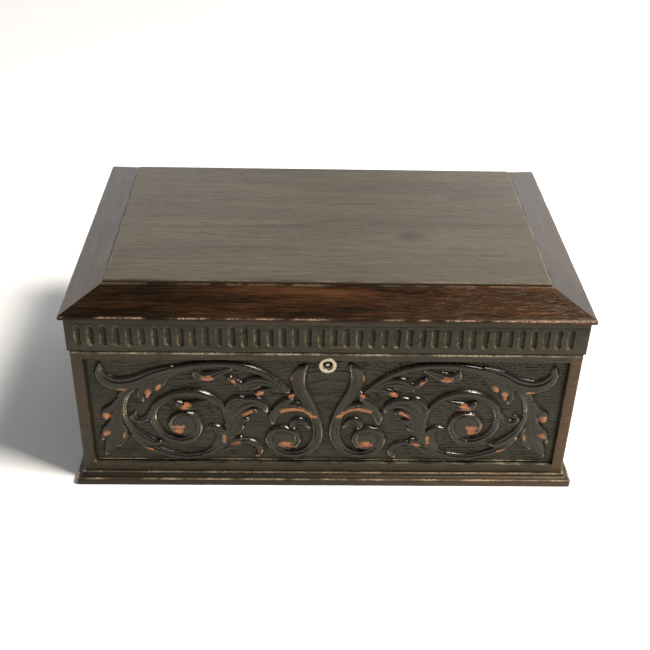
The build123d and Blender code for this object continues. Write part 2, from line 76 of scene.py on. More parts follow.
# Field of the front board, in millimetres from its edges
FIELD_SIDE = 7.2
FIELD_TOP = 6.2
FIELD_FOOT = 6.9
FIELD_DEEP = 2.7

# Seat of the ring and bore for the key, in millimetres
SEAT_RADIUS = 5.6
SEAT_SLOPE = 0.35
BORE_RADIUS = 3.3
BORE_DEEP = 3.2


# ---------------------------------------------------------------- small numeric helpers

def smooth(low, high, value):
    """0 below low, 1 above high and an S-curve between."""
    t = np.clip((value - low) / (high - low), 0, 1)
    return t * t * (3 - 2 * t)


def bell(offset, width):
    """1 at no offset, fading to both sides."""
    return np.exp(-((offset / width) ** 2))


def value_noise(u, v, seed):
    """Smooth noise from -1 to 1 with one cell per unit of u and v."""
    size = 64
    lattice = np.random.default_rng(SEED + seed).uniform(-1, 1, (size, size))
    iu = np.floor(u).astype(int)
    iv = np.floor(v).astype(int)
    fu = smooth(0, 1, u - iu)
    fv = smooth(0, 1, v - iv)
    a = lattice[iu % size, iv % size]
    b = lattice[(iu + 1) % size, iv % size]
    c = lattice[iu % size, (iv + 1) % size]
    d = lattice[(iu + 1) % size, (iv + 1) % size]
    return (a * (1 - fu) + b * fu) * (1 - fv) + (c * (1 - fu) + d * fu) * fv


def rough_noise(u, v, seed, octaves=3):
    """A few octaves of value noise, from about -1 to 1."""
    total = 0
    for k in range(octaves):
        total = total + value_noise(u * 2**k, v * 2**k, seed + 7 * k) / 2**k
    return total / (2 - 2 ** (1 - octaves))


def blurred(field, radius):
    """Box blur of a grid, run twice so that it is nearly round."""
    out = field
    for _ in range(2):
        for axis in (0, 1):
            width = 2 * radius + 1
            pad = [(0, 0), (0, 0)]
            pad[axis] = (radius + 1, radius)
            run = np.cumsum(np.pad(out, pad, mode="edge"), axis=axis)
            ahead = np.take(run, range(width, run.shape[axis]), axis=axis)
            behind = np.take(run, range(0, run.shape[axis] - width), axis=axis)
            out = (ahead - behind) / width
    return out


# ---------------------------------------------------------------- the carving, in millimetres

# Each stroke has a form, a height and a spine of (x, z, half width), for the right half of the field.
# A band is a rounded stem with a groove, a leaf is a rounded lobe with a vein, and a bead is a plain dome.
STROKES = [
    # great scroll, from the node over the top and down the right
    ("band", 2.3, [(23, 69, 1.1), (31, 76, 1.6), (41, 82.4, 2.1), (52, 86.0, 2.4), (64, 87.2, 2.7),
        (77, 86.4, 3.1), (90, 83.4, 3.6), (101, 78.8, 3.2), (111, 73.6, 2.2), (118, 66.8, 1.6),
        (121, 58.5, 1.4), (121.3, 49, 1.5), (118.5, 40.5, 1.9), (113, 33.5, 2.8), (107, 29.2, 3.0),
        (102.5, 29.8, 1.2)]),
    # lower stem under the spiral, and its small curl
    ("band", 2.1, [(117, 34, 1.4), (111, 27, 2.6), (104, 22.5, 2.7), (95, 19.5, 2.2), (86, 18.2, 2.2),
        (76, 19.4, 2.4), (67, 22.3, 2.5), (59, 26.2, 2.2), (51.5, 29.5, 1.6)]),
    ("band", 1.9, [(54, 29.2, 1.5), (48, 29.3, 1.7), (43.3, 27.3, 1.9), (40.6, 23.5, 1.7),
        (41, 20.5, 1.4)]),
    ("bead", 2.2, [(42.2, 19, 1.7), (42.6, 18.8, 1.7)]),
    # short leaf that curls up from the lower stem
    ("band", 2.2, [(75, 20, 1.8), (68.5, 24, 2.8), (64.5, 29.5, 3.6), (64, 35.5, 3.4), (67, 40.3, 2.2),
        (71.5, 41.3, 1.0)]),
    # inner spiral
    ("band", 2.4, [(61.8, 54.6, 1.0), (65.5, 59.6, 1.9), (71.5, 64.0, 2.6), (79, 66.4, 3.0),
        (88, 66.4, 2.9), (96.5, 63.2, 2.5), (102.5, 57.6, 2.2), (104.8, 50.2, 2.0), (103.8, 42.6, 2.0),
        (100, 36.2, 2.1), (94, 32.2, 2.2), (87.5, 31.2, 2.4), (81.5, 33.8, 2.5), (78, 39.4, 2.4),
        (77.6, 45.4, 2.1), (79.6, 50.2, 1.6), (83.6, 53, 0.9)]),
    ("bead", 2.6, [(86.6, 43.4, 9.6), (86.8, 43.4, 9.6)]),
    ("band", 2.6, [(83.6, 52.6, 0.8), (90.2, 51, 1.3), (94, 46, 1.6), (92.8, 40.4, 1.6), (88.8, 38, 1.5),
        (85.8, 40.2, 1.3), (86.8, 43.2, 1.1)]),
    # side curl between the spiral and the great scroll
    ("band", 2.0, [(104.8, 55.5, 1.0), (107, 50.5, 1.5), (110.3, 46.9, 1.8), (114.6, 46.2, 1.8),
        (117, 49, 1.4), (115, 51, 0.9)]),
    # central volute with its leaf
    ("band", 2.5, [(13.6, 88, 1.2), (16.6, 84.3, 2.9), (18.1, 77.5, 3.9), (16.4, 69.8, 3.8),
        (12.2, 62.2, 3.3), (8.2, 53.5, 3.1), (5.6, 44, 3.1), (5.6, 34.6, 3.1), (8.9, 27, 2.9),
        (14.4, 22, 2.6), (21, 20.3, 2.5), (27.6, 21.8, 2.5), (32.4, 26.4, 2.6), (34, 32.4, 2.6),
        (31.2, 37.7, 2.6), (25.4, 39.6, 2.4), (19.9, 37.2, 2.1), (17.8, 31.9, 1.8), (19.6, 27, 1.2)]),
    ("bead", 2.5, [(25.4, 31.0, 8.0), (25.6, 31.0, 8.0)]),
    ("band", 2.6, [(19.4, 35.6, 0.8), (19.6, 29.4, 1.3), (23.6, 26.2, 1.5), (27.8, 28, 1.4),
        (27.6, 31.8, 1.2), (25, 32, 1.0)]),
    ("leaf", 2.5, [(8.6, 50.5, 1.2), (12.6, 55.6, 2.6), (19, 57.6, 3.2), (26, 56, 3.6), (31, 50.8, 2.8),
        (32, 45.2, 1.0)]),
    ("leaf", 2.7, [(21.6, 63.5, 1.6), (25, 60.6, 2.3), (29.4, 56, 2.0), (31.6, 51.5, 1.0)]),
    ("bead", 2.7, [(20.4, 67, 1.9), (21.8, 65.6, 1.9)]),
    ("leaf", 2.3, [(10.6, 41.8, 0.7), (14, 45.6, 2.1), (17.8, 46.2, 2.5), (20.3, 43.4, 1.9),
        (19.4, 41, 0.7)]),
    # second leaf from the node
    ("leaf", 2.2, [(24, 68.6, 0.9), (30, 72.2, 1.7), (37, 75.2, 2.9), (44.5, 75.2, 3.2),
        (50.6, 72.8, 2.2), (54.6, 74.6, 1.9), (58.4, 78, 1.4)]),
    ("leaf", 2.0, [(28, 70.4, 0.9), (33, 69.4, 2.1), (38.2, 67.8, 2.3), (41.5, 66.2, 1.4)]),
    ("leaf", 1.7, [(41, 71.6, 0.9), (46.5, 70.2, 1.6), (51.6, 70.4, 1.0)]),
    # lobe under the crown of the great scroll
    ("leaf", 2.7, [(58, 85, 1.6), (64.5, 82.2, 2.6), (70.8, 79.4, 3.6), (76, 80, 3.2), (78, 83.2, 1.6)]),
    # three lobes that hang from the shoulder
    ("leaf", 2.2, [(90, 85, 1.3), (96, 79.6, 2.4), (100, 74.4, 2.7), (101.8, 70.8, 1.7)]),
    ("leaf", 2.5, [(98, 82, 1.4), (103.6, 76, 2.4), (106.6, 69.6, 2.4), (107.6, 64.4, 1.1)]),
    ("leaf", 2.0, [(103, 79, 1.4), (108.8, 72.4, 2.4), (111, 65.6, 2.0), (110, 61.4, 1.0)]),
    ("leaf", 2.1, [(108, 78, 1.3), (112.8, 73.8, 1.9), (115.2, 70, 1.1)]),
    # acanthus that sweeps to the upper corner
    ("band", 2.4, [(93, 85.8, 1.9), (104, 81.6, 2.8), (113.5, 75.4, 4.2), (123, 73.0, 4.5),
        (130.6, 75.4, 3.9), (134.8, 81.2, 2.6), (134.8, 87.2, 1.0)]),
    ("leaf", 2.1, [(117, 73, 1.2), (124.6, 72, 2.0), (131.6, 74.6, 1.5), (134.2, 76.6, 0.7)]),
    # long leaf down the right side
    ("leaf", 2.1, [(117.6, 72.4, 1.6), (121.4, 65.8, 2.3), (124.0, 57.8, 3.0), (125.8, 48, 4.0),
        (128, 38, 4.8), (131.4, 28, 4.4), (135.8, 20.2, 1.6)]),
    ("leaf", 2.4, [(124.6, 62, 0.9), (128.2, 56.6, 1.8), (132.2, 52.4, 2.7), (133.2, 48.4, 2.0)]),
    ("leaf", 2.4, [(127.6, 48, 1.2), (131, 41.8, 2.3), (134.6, 37, 2.6), (137.2, 31, 0.9)]),
    ("leaf", 2.0, [(124.4, 44, 1.0), (122.8, 37, 1.9), (124.6, 30.6, 2.1), (127.4, 26, 0.8)]),
    # acanthus left of the spiral
    ("leaf", 2.0, [(60, 30, 2.0), (58, 36.5, 3.2), (57.6, 44, 4.0), (58.8, 50.5, 3.2),
        (60.8, 56.6, 1.2)]),
    ("leaf", 2.6, [(60, 43, 1.6), (57, 51.4, 3.1), (51, 58, 4.2), (43.6, 60.4, 3.7), (37.8, 58.2, 2.5),
        (35.6, 54, 0.9)]),
    ("leaf", 2.3, [(49, 62, 1.5), (54.6, 61.8, 2.5), (59, 58.4, 1.9), (60.8, 55, 0.9)]),
    ("leaf", 2.2, [(55.6, 46.4, 1.5), (50.6, 50.8, 2.3), (45.6, 53, 2.1), (42.4, 53.6, 1.1)]),
    ("leaf", 2.3, [(58, 38.6, 1.5), (53.6, 43.4, 2.5), (49.8, 46.6, 2.0), (47.4, 47.4, 1.0)]),
    ("leaf", 2.1, [(58.6, 33.6, 1.3), (54.8, 37.4, 2.3), (51.4, 41.2, 1.4)]),
    ("bead", 2.3, [(53, 32, 1.8), (56.6, 31.2, 2.2)]),
    # leaf inside the spiral
    ("leaf", 2.6, [(69, 62.6, 1.3), (75.6, 60.0, 2.3), (81.6, 57.6, 3.1), (86.6, 57.8, 2.8),
        (89.6, 60.6, 1.4)]),
]

# Worn spots where the bare wood shows: (x, z, half length, half height, turn in degrees)
WORN = [
    (21.2, 66, 2.1, 2.0, 0), (12, 53.3, 8, 2.2, 32), (22, 55.2, 6.4, 2.1, -8), (24.4, 29, 4.6, 3.2, 0),
    (40, 67, 2.6, 1.7, -40), (56.6, 75.8, 1.7, 2.6, -40), (71.4, 78.6, 3.8, 2.6, 0),
    (101, 71.4, 2.0, 3.2, 20), (107, 66.8, 1.9, 4.4, 5), (122.4, 69.4, 3.4, 1.1, 0),
    (132.2, 49.2, 3.2, 3.0, 0), (134, 36, 3.4, 1.9, -35), (123.2, 34, 0.9, 3.0, 20),
    (83.8, 58, 4.2, 2.4, -14), (89.6, 41.2, 3.6, 4.4, 20), (94.4, 39.2, 1.0, 3.6, -24),
    (47.2, 52.2, 4.2, 1.3, -35), (62.6, 32.4, 1.3, 3.4, 0), (56, 28.6, 3.6, 1.1, -20),
    (42.4, 18.4, 1.7, 1.5, 0), (110, 24.6, 4.4, 0.8, 12), (22, 78.6, 0.9, 3.4, 10),
]

STROKE_STEP = 0.35
SET_IN = 0.75
SPREAD = {"band": 1.14, "leaf": 1.2, "bead": 1.0}
BAND_WALL = (0.82, 1.08)
BAND_QUIRK = 0.26
LEAF_WALL = (0.8, 1.08)


def spine_samples(points):
    """Points along a Catmull-Rom curve through the rows of a spine, evenly close."""
    p = np.array(points, float)
    p = np.vstack([2 * p[0] - p[1], p, 2 * p[-1] - p[-2]])
    out = []
    for a, b, c, d in zip(p, p[1:], p[2:], p[3:]):
        count = max(2, int(np.hypot(*(c - b)[:2]) / STROKE_STEP))
        t = np.linspace(0, 1, count, endpoint=False)[:, None]
        square = (2 * a - 5 * b + 4 * c - d) * t**2
        cube = (3 * b - a - 3 * c + d) * t**3
        out.append(0.5 * (2 * b + (c - a) * t + square + cube))
    out.append(p[-2][None])
    return np.vstack(out)


def curl_side(spine):
    """1 where a spine turns mostly to its left, and -1 to its right."""
    step = np.gradient(spine[:, :2], axis=0)
    turn = np.gradient(np.unwrap(np.arctan2(step[:, 1], step[:, 0])))
    return 1 if turn.sum() > 0 else -1


def lay_stroke(height, x, z, form, tall, points):
    """Raise one stroke on a grid of heights, where it is higher than what is there."""
    spine = spine_samples(points)
    spine[:, 2] *= SPREAD[form]
    reach = 1.2 * spine[:, 2].max()
    near = (
        (x > spine[:, 0].min() - reach)
        & (x < spine[:, 0].max() + reach)
        & (z > spine[:, 1].min() - reach)
        & (z < spine[:, 1].max() + reach)
    )
    px, pz = x[near], z[near]
    best = np.full(px.shape, 1e9)
    dist = np.zeros(px.shape)
    run = np.zeros(px.shape)
    side = np.zeros(px.shape)
    ahead = np.gradient(spine[:, :2], axis=0)
    for i, (sx, sz, sw) in enumerate(spine):
        dx, dz = px - sx, pz - sz
        d = np.hypot(dx, dz)
        t = d / sw
        hit = t < best
        best[hit] = t[hit]
        dist[hit] = d[hit]
        run[hit] = i / len(spine)
        side[hit] = np.sign(dz[hit] * ahead[i, 0] - dx[hit] * ahead[i, 1])
    if form == "band":
        # a rounded stem with a quirk cut along it, which leaves a thin lip on the side it curls to
        wall = 1 - smooth(*BAND_WALL, best)
        across = best * side * curl_side(spine)
        lip = bell(across - 0.36, 0.13) * smooth(0, 0.08, run) * (1 - smooth(0.9, 1, run))
        dome = np.clip(1 - ((across + 0.14) / 1.15) ** 2, 0, 1)
        rise = wall * (0.24 + 0.76 * dome - BAND_QUIRK * lip)
    elif form == "leaf":
        wall = 1 - smooth(*LEAF_WALL, best)
        vein = 0.24 * bell(dist, 0.42) * smooth(0, 0.2, run) * (1 - smooth(0.6, 0.85, run))
        # the tip of a lobe stands a little higher
        tip = 0.16 * smooth(0.62, 0.95, run)
        rise = wall * (0.36 + tip + 0.56 * np.clip(1 - best**2, 0, 1) - vein)
    else:
        rise = np.clip(1 - (best / 1.05) ** 2, 0, 1) ** 0.7
    height[near] = np.maximum(height[near], tall * rise)


def worn_spots(x, z):
    """How bare the wood is, from 0 to 1."""
    bare = np.zeros_like(x)
    ragged = 0.5 * rough_noise(x / 2.2, z / 1.7, 15)
    for cx, cz, along, across, turn in WORN:
        c, s = math.cos(math.radians(turn)), math.sin(math.radians(turn))
        u = ((x - cx) * c + (z - cz) * s) / along
        v = ((z - cz) * c - (x - cx) * s) / across
        bare = np.maximum(bare, 1 - smooth(0.5, 1.5, np.hypot(u, v) + ragged))
    return bare


def carve_front(u, v):
    """Depth of the front board's face and height of its carving, in millimetres, and two masks."""
    half = HALF_LENGTH / MM
    foot, top = CASE_FOOT / MM, CASE_TOP / MM
    # the two halves were cut by hand from one drawing, so the left one wanders a little
    left = u < 0
    x = np.abs(u) + np.where(left, 0.5 * np.sin(v / 11) + 0.3 * np.sin(np.abs(u) / 7), 0)
    z = v + np.where(left, 0.5 * np.sin(np.abs(u) / 13 + 1), 0)
    height = np.zeros_like(u)
    for form, tall, points in STROKES:
        lay_stroke(height, x, z, form, tall, points)
    # ground cut with a flat gouge in level passes
    sway = 0.65 * value_noise(u / 26, v / 9, 1) + 0.22 * value_noise(u / 7, v / 3, 2)
    pass_height = 2.05 + 0.2 * value_noise(u / 60, v / 17, 3)
    ribs = 1.2 - 2 * np.abs(np.sin(math.pi * (v + sway) / pass_height)) ** 0.8
    rib_strength = 0.25 + 0.11 * value_noise(u / 30, v / 14, 4) + 0.13 * smooth(50, 80, v)
    ground = rib_strength * ribs + 0.08 * rough_noise(u / 6.0, v / 0.9, 5)
    raised = smooth(0.05, 0.5, height)
    ground = ground - SET_IN * smooth(0.02, 0.3, blurred(raised, 1)) * (1 - raised)
    surface = height + ground * (1 - raised) + 0.05 * rough_noise(u / 2.4, v / 2.4, 6) * raised
    # field walls with a narrow step along the foot
    dx = half - FIELD_SIDE - np.abs(u)
    dz_low = v - foot - FIELD_FOOT
    dz_high = top - FIELD_TOP - v
    inside = np.minimum(np.minimum(dx, dz_low), dz_high)
    edge = inside + 0.12 * value_noise(u / 5, v / 5, 8)
    sunk = smooth(-0.25, 0.35, edge)
    bead = 0.9 * bell(dz_low - 1.5, 0.55) * smooth(0, 1, dx)
    surface = np.maximum(surface, bead)
    frame_face = 0.05 * rough_noise(u / 9, v / 1.3, 9) - 0.03
    depth = np.where(sunk > 0, sunk * (FIELD_DEEP - np.minimum(surface, FIELD_DEEP - 0.05)), 0)
    depth = depth - frame_face * (1 - sunk) * 0.6 + 0.02
    # softened outer edges
    rim = np.minimum(np.minimum(half - np.abs(u), v - foot), top - v)
    soft = 0.9 + 0.35 * value_noise(u / 6, v / 6, 10)
    depth = depth + 0.7 * (1 - smooth(0, soft, rim)) ** 2
    # seat of the ring and the key bore, hidden behind the ring
    from_key = np.hypot(u - KEY.x / MM, v - KEY.z / MM)
    depth = np.maximum(depth, SEAT_SLOPE * np.maximum(SEAT_RADIUS - from_key, 0))
    depth = np.where(from_key < RING_HALF - 0.5, np.maximum(depth, BORE_DEEP), depth)
    return np.maximum(depth, 0.0), height, worn_spots(x, z) * raised, 1 - sunk


# ---------------------------------------------------------------- mesh building

def add_object(name, data):
    obj = bpy.data.objects.new(name, data)
    bpy.context.scene.collection.objects.link(obj)
    return obj


def make_object(name, verts, faces):
    mesh = bpy.data.meshes.new(name)
    mesh.from_pydata(verts, [], faces)
    mesh.validate()
    return add_object(name, mesh)


def grid_faces(rows, columns, wrap_rows, wrap_columns):
    """Quads between the points of a grid, whose last row or column may join the first."""
    faces = []
    for i in range(rows if wrap_rows else rows - 1):
        j = (i + 1) % rows
        for k in range(columns if wrap_columns else columns - 1):
            m = (k + 1) % columns
            faces.append((i * columns + k, i * columns + m, j * columns + m, j * columns + k))
    return faces


def set_attribute(obj, name, values):
    layer = obj.data.attributes.new(name, "FLOAT", "POINT")
    layer.data.foreach_set("value", np.asarray(values, np.float32))


def coordinates(obj):
    co = np.zeros(len(obj.data.vertices) * 3, np.float32)
    obj.data.vertices.foreach_get("co", co)
    return co.reshape(-1, 3)


def shade_smooth(obj, angle=35):
    """Smooth shading with the sharp corners of the joinery kept."""
    obj.data.polygons.foreach_set("use_smooth", [True] * len(obj.data.polygons))
    obj.data.set_sharp_from_angle(angle=math.radians(angle))


def relief_board(name, half_u, low_v, high_v, step_u, step_v, carve, place, thickness):
    """A closed board whose face is a grid, sunk by carve in millimetres and set in space by place."""
    nu = int(round(2 * half_u / step_u)) + 1
    nv = int(round((high_v - low_v) / step_v)) + 1
    u, v = np.meshgrid(np.linspace(-half_u, half_u, nu), np.linspace(low_v, high_v, nv), indexing="ij")
    depth = carve(u, v)[0]
    face = place(u.ravel() * MM, v.ravel() * MM, depth.ravel() * MM)
    index = np.arange(nu * nv).reshape(nu, nv)
    quads = np.stack([index[:-1, :-1], index[1:, :-1], index[1:, 1:], index[:-1, 1:]], -1).reshape(-1, 4)
    loop = np.concatenate([index[:-1, 0], index[-1, :-1], index[:0:-1, -1], index[0, :0:-1]])
    ru, rv = u.ravel()[loop], v.ravel()[loop]
    back = place(ru * MM, rv * MM, np.full(len(loop), thickness))
    first = nu * nv
    ring = first + np.arange(len(loop))
    walls = np.stack([loop, ring, np.roll(ring, -1), np.roll(loop, -1)], -1)
    faces = quads.tolist() + walls.tolist() + [ring[::-1].tolist()]
    return make_object(name, np.vstack([face, back]).tolist(), faces)


def cutter_box(low, high):
    """A plain block used only to cut a joint, and removed afterwards."""
    x, y, z = zip(low, high)
    verts = [(x[i], y[j], z[k]) for i in (0, 1) for j in (0, 1) for k in (0, 1)]
    faces = [(0, 1, 3, 2), (4, 6, 7, 5), (0, 4, 5, 1), (2, 3, 7, 6), (0, 2, 6, 4), (1, 5, 7, 3)]
    return make_object("cutter", verts, faces)


def cutter_tube(centre, radius, low_y, high_y, sides=48):
    """A round cutter along Y."""
    angles = np.linspace(0, 2 * math.pi, sides, endpoint=False)
    ring = [(math.cos(a) * radius, math.sin(a) * radius) for a in angles]
    verts = [(centre.x + c, y, centre.z + s) for y in (low_y, high_y) for c, s in ring]
    faces = [(sides + i, sides + (i + 1) % sides, (i + 1) % sides, i) for i in range(sides)]
    faces += [tuple(range(sides)), tuple(range(sides, 2 * sides))[::-1]]
    return make_object("cutter", verts, faces)


def cut_away(obj, cutters):
    """Subtract the cutters for good."""
    for cutter in cutters:
        modifier = obj.modifiers.new("cut", "BOOLEAN")
        modifier.operation = "DIFFERENCE"
        modifier.solver = "MANIFOLD"
        modifier.object = cutter
    graph = bpy.context.evaluated_depsgraph_get()
    graph.update()
    mesh = bpy.data.meshes.new_from_object(obj.evaluated_get(graph))
    obj.modifiers.clear()
    old = obj.data
    obj.data = mesh
    bpy.data.meshes.remove(old)
    for cutter in cutters:
        bpy.data.objects.remove(cutter)


def bilinear(grid, u, v, span_u, span_v):
    """Read a grid at points between its nodes."""
    nu, nv = grid.shape
    fu = np.clip((u - span_u[0]) / (span_u[1] - span_u[0]) * (nu - 1), 0, nu - 1.001)
    fv = np.clip((v - span_v[0]) / (span_v[1] - span_v[0]) * (nv - 1), 0, nv - 1.001)
    iu, iv = fu.astype(int), fv.astype(int)
    a, b = fu - iu, fv - iv
    low = grid[iu, iv] * (1 - a) + grid[iu + 1, iv] * a
    high = grid[iu, iv + 1] * (1 - a) + grid[iu + 1, iv + 1] * a
    return low * (1 - b) + high * b


def wear_masks(depth, ridge_size, ridge_high, hollow_size, hollow_deep):
    """Where a relief stands proud and where it is tucked in, from 0 to 1."""
    proud = depth * -1
    ridge = smooth(0.4, 1.0, (proud - blurred(proud, ridge_size)) / ridge_high)
    hollow = smooth(0.1, 1.0, (blurred(proud, hollow_size) - proud) / hollow_deep)
    return ridge, hollow


def place_front(u, v, depth):
    return np.stack([u, FRONT[0].y + depth, v], -1)


def make_front_board():
    """The carved board, closed at the back and jointed for the sides and the lock."""
    step = 0.45
    step_v = 0.8 * step
    half_u = HALF_LENGTH / MM
    low_v, high_v = CASE_FOOT / MM, CASE_TOP / MM
    thickness = FRONT[1].y - FRONT[0].y
    seen = {}

    def carve(u, v):
        seen["layers"] = carve_front(u, v)
        return seen["layers"]

    obj = relief_board("carved_front", half_u, low_v, high_v, step, step_v, carve, place_front, thickness)
    lap_y = LEFT[0].y
    back_y = FRONT[1].y + SLACK
    low_z, high_z, end_x = CASE_FOOT - SLACK, CASE_TOP + SLACK, HALF_LENGTH + SLACK
    cap_back = CAP[1].y + SLACK / 2
    cut_away(obj, [
        cutter_box((-end_x, lap_y, low_z), (LEFT[1].x, back_y, high_z)),
        cutter_box((RIGHT[0].x, lap_y, low_z), (end_x, back_y, high_z)),
        cutter_box((PLATE[0].x, CAP[1].y, PLATE[0].z), (PLATE[1].x, back_y, high_z)),
        cutter_box((PLATE[0].x, CAP[0].y, CAP[1].z), (PLATE[1].x, cap_back, high_z)),
        cutter_box(CAP[0], (CAP[1].x, cap_back, CAP[1].z + SLACK / 2)),
        cutter_tube(KEY, (RING_HALF - 0.1) * MM, FRONT[0].y - SLACK, RING[1].y),
        cutter_tube(KEY, BORE_RADIUS * MM, FRONT[0].y, CAP[0].y + SLACK),
    ])
    depth, height, bare, border = seen["layers"]
    # hollow is painted shade in the recesses beside the carving and along the field's walls, and ridge a
    # light line on the arrises, partly wear and partly painted highlight
    ridge_cells, hollow_cells = (max(1, round(reach / step)) for reach in (0.5, 1.3))
    ridge, hollow = wear_masks(depth, ridge_cells, 0.3, hollow_cells, 0.5)
    nu, nv = depth.shape
    u, v = np.meshgrid(np.linspace(-half_u, half_u, nu), np.linspace(low_v, high_v, nv), indexing="ij")
    # the frame's edges get no light line, and its top arris and the step at the foot get a painted
    # highlight with some wear
    top_arris = bell(high_v - v - 1.4, 0.6) * smooth(-0.45, 0.3, rough_noise(u / 14, v / 9, 12, 4))
    top_arris = 1.1 * top_arris * (np.abs(u) < half_u - 1)
    foot_patches = 0.3 + 0.7 * smooth(-0.3, 0.5, rough_noise(u / 9, v / 9, 13))
    foot_step = bell(v - low_v - FIELD_FOOT - 1.2, 0.8) * foot_patches
    patchy = 0.5 + 0.5 * smooth(-0.25, 0.45, rough_noise(u / 7, v / 7, 14, 3))
    on_carving = smooth(0.2, 0.8, height)
    ridge = np.clip(ridge * (1.3 * on_carving * patchy + foot_step) + top_arris, 0, 1)
    # slopes that face up get a painted shade, darker, and are made glossier
    fall = -np.gradient(blurred(height, 2), axis=1) / step_v
    upward = smooth(-0.05, 0.2, fall) * smooth(0.1, 0.5, height)
    co = coordinates(obj)
    on_face = co[:, 1] < FRONT[0].y + 4 * MM
    spans = (-half_u, half_u), (low_v, high_v)
    # raised carries the up-facing slopes, for their painted shade and gloss
    layers = {"ridge": ridge, "hollow": hollow, "bare": bare, "border": border, "raised": upward}
    for name, grid in layers.items():
        values = bilinear(grid, co[:, 0] / MM, co[:, 2] / MM, *spans)
        set_attribute(obj, name, np.where(on_face, values, 0))
    shade_smooth(obj, 60)
    return obj


# ---------------------------------------------------------------- fluted rails of the lid

FLUTE_PITCH = 7.34
FLUTE_HALF = 1.82
FLUTE_HEIGHT = 13.0
FLUTE_FOOT = 4.0
FLUTE_DEEP = 1.45


def carve_flutes(half_u, low_v, high_v, seed, clear_end, drift):
    """The depth function of one rail: a row of round-ended gouge cuts between two flat strips."""
    count = round(2 * half_u / FLUTE_PITCH) - 1
    centres = [(i - (count - 1) / 2) * FLUTE_PITCH for i in range(count)]
    wander = np.random.default_rng(SEED + seed)
    cuts = []
    for centre in centres:
        du, dv, dh, dw, dd = wander.normal(0, 1, 5)
        if abs(centre) < half_u - clear_end:
            place = centre + 0.14 * du - drift * (0.7 + 1.9 * smooth(60, 150, centre))
            cuts.append((place, 0.18 * dv, 0.2 * dh, 1 + 0.04 * dw, 1 + 0.06 * dd))

    def carve(u, v):
        depth = np.zeros_like(u)
        middle = low_v + FLUTE_FOOT + FLUTE_HEIGHT / 2
        for centre, dv, dh, wide, deep in cuts:
            near = np.abs(u - centre) < 2 * FLUTE_HALF
            pu = u[near] - centre
            pv = v[near] - middle - dv
            run = FLUTE_HEIGHT / 2 + dh - FLUTE_HALF
            q = np.hypot(pu, np.maximum(np.abs(pv) - run, 0)) / (FLUTE_HALF * wide)
            # a round hollow, a little deeper towards its top end
            floor = np.clip(1 - (q * 0.96) ** 2, 0, 1)
            cut = (0.22 + 0.78 * floor) * (1 - smooth(0.86, 1.06, q)) * (0.9 + 0.1 * pv / run)
            depth[near] = np.maximum(depth[near], cut * FLUTE_DEEP * deep)
        # scribed line over the flutes and a flat strip above it
        line_v = low_v + FLUTE_FOOT + FLUTE_HEIGHT + 1.9
        depth = depth + 0.28 * bell(v - line_v - 0.1 * value_noise(u / 20, v * 0, seed), 0.28)
        depth = depth + 0.03 + 0.045 * rough_noise(u / 9, v / 1.1, seed + 1)
        rim = np.minimum(np.minimum(half_u - np.abs(u), v - low_v), high_v - v + 0.5)
        depth = depth + 0.55 * (1 - smooth(0, 0.9 + 0.3 * value_noise(u / 8, v / 8, seed + 2), rim)) ** 2
        return (np.maximum(depth, 0),)

    return carve


def make_rail(name, box, along_x, side, thickness, seed, clear_end, drift=0):
    """One fluted rail, as a relief on the outer face of a board."""
    half_u = (box[1].x if along_x else box[1].y) / MM
    low_v, high_v = box[0].z / MM, box[1].z / MM
    if along_x:
        def place(u, v, depth):
            return np.stack([u, box[0].y + depth, v], -1)
    else:
        def place(u, v, depth):
            outer = box[1].x if side > 0 else box[0].x
            return np.stack([outer - side * depth, side * u, v], -1)
    step_u, step_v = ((0.3, 0.5))
    carve = carve_flutes(half_u, low_v, high_v, seed, clear_end, drift)
    obj = relief_board(name, half_u, low_v, high_v, step_u, step_v, carve, place, thickness)
    us = np.linspace(-half_u, half_u, 2 * int(half_u / step_u))
    vs = np.linspace(low_v, high_v, int((high_v - low_v) / step_v))
    u, v = np.meshgrid(us, vs, indexing="ij")
    depth = carve(u, v)[0]
    ridge, hollow = wear_masks(depth, 2, 0.28, 5, 0.8)
    # worn rims, and painted highlight on the left wall and the foot of a flute and painted shade on its
    # right and top walls, by the way they face the key light
    lean = np.gradient(depth, axis=0) / step_u + np.gradient(depth, axis=1) / step_v
    patchy = smooth(-0.45, 0.35, rough_noise(u / 5, v / 3, seed + 7))
    rim_wear = 0.5 * ridge * smooth(-0.3, 0.6, rough_noise(u / 12, v / 4, seed + 5))
    ridge = rim_wear + 0.9 * smooth(0.25, 1.2, lean) * patchy
    hollow = 0.2 * hollow + smooth(0.05, 0.75, -lean)
    co = coordinates(obj)
    along = co[:, 0] if along_x else side * co[:, 1]
    skin = 3 * MM
    if along_x:
        outer = co[:, 1] < box[0].y + skin
    else:
        outer = side * co[:, 0] > abs(box[1].x if side > 0 else box[0].x) - skin
    for key, grid in (("ridge", ridge), ("hollow", np.clip(hollow, 0, 1))):
        values = bilinear(grid, along / MM, co[:, 2] / MM, (-half_u, half_u), (low_v, high_v))
        set_attribute(obj, key, np.where(outer, values, 0))
    shade_smooth(obj, 60)
    return obj


def make_front_rail():
    rail = make_rail("fluted_rail_front", RAIL, True, 0, RAIL[1].y - RAIL[0].y, 20, 0, 1)
    lap_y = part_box("lid_rail_left")[0].y
    back_y = RAIL[1].y + SLACK
    inner_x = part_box("lid_rail_left")[1].x
    end_x = RAIL[1].x + SLACK
    low_z, high_z = RAIL[0].z - SLACK, RAIL[1].z + SLACK
    cut_away(rail, [
        cutter_box((-end_x, lap_y, low_z), (inner_x, back_y, high_z)),
        cutter_box((-inner_x, lap_y, low_z), (end_x, back_y, high_z)),
        cutter_box((LINK[0].x, LINK[0].y, low_z), (LINK[1].x, LINK[1].y, LINK[1].z)),
    ])
    return rail


# ---------------------------------------------------------------- bevelled mouldings of the lid

ARRIS_ROUND = 1.5
UPRIGHT_EDGE = 2.2
MITRE_GAP = 0.03
STATION_STEP = 1.5


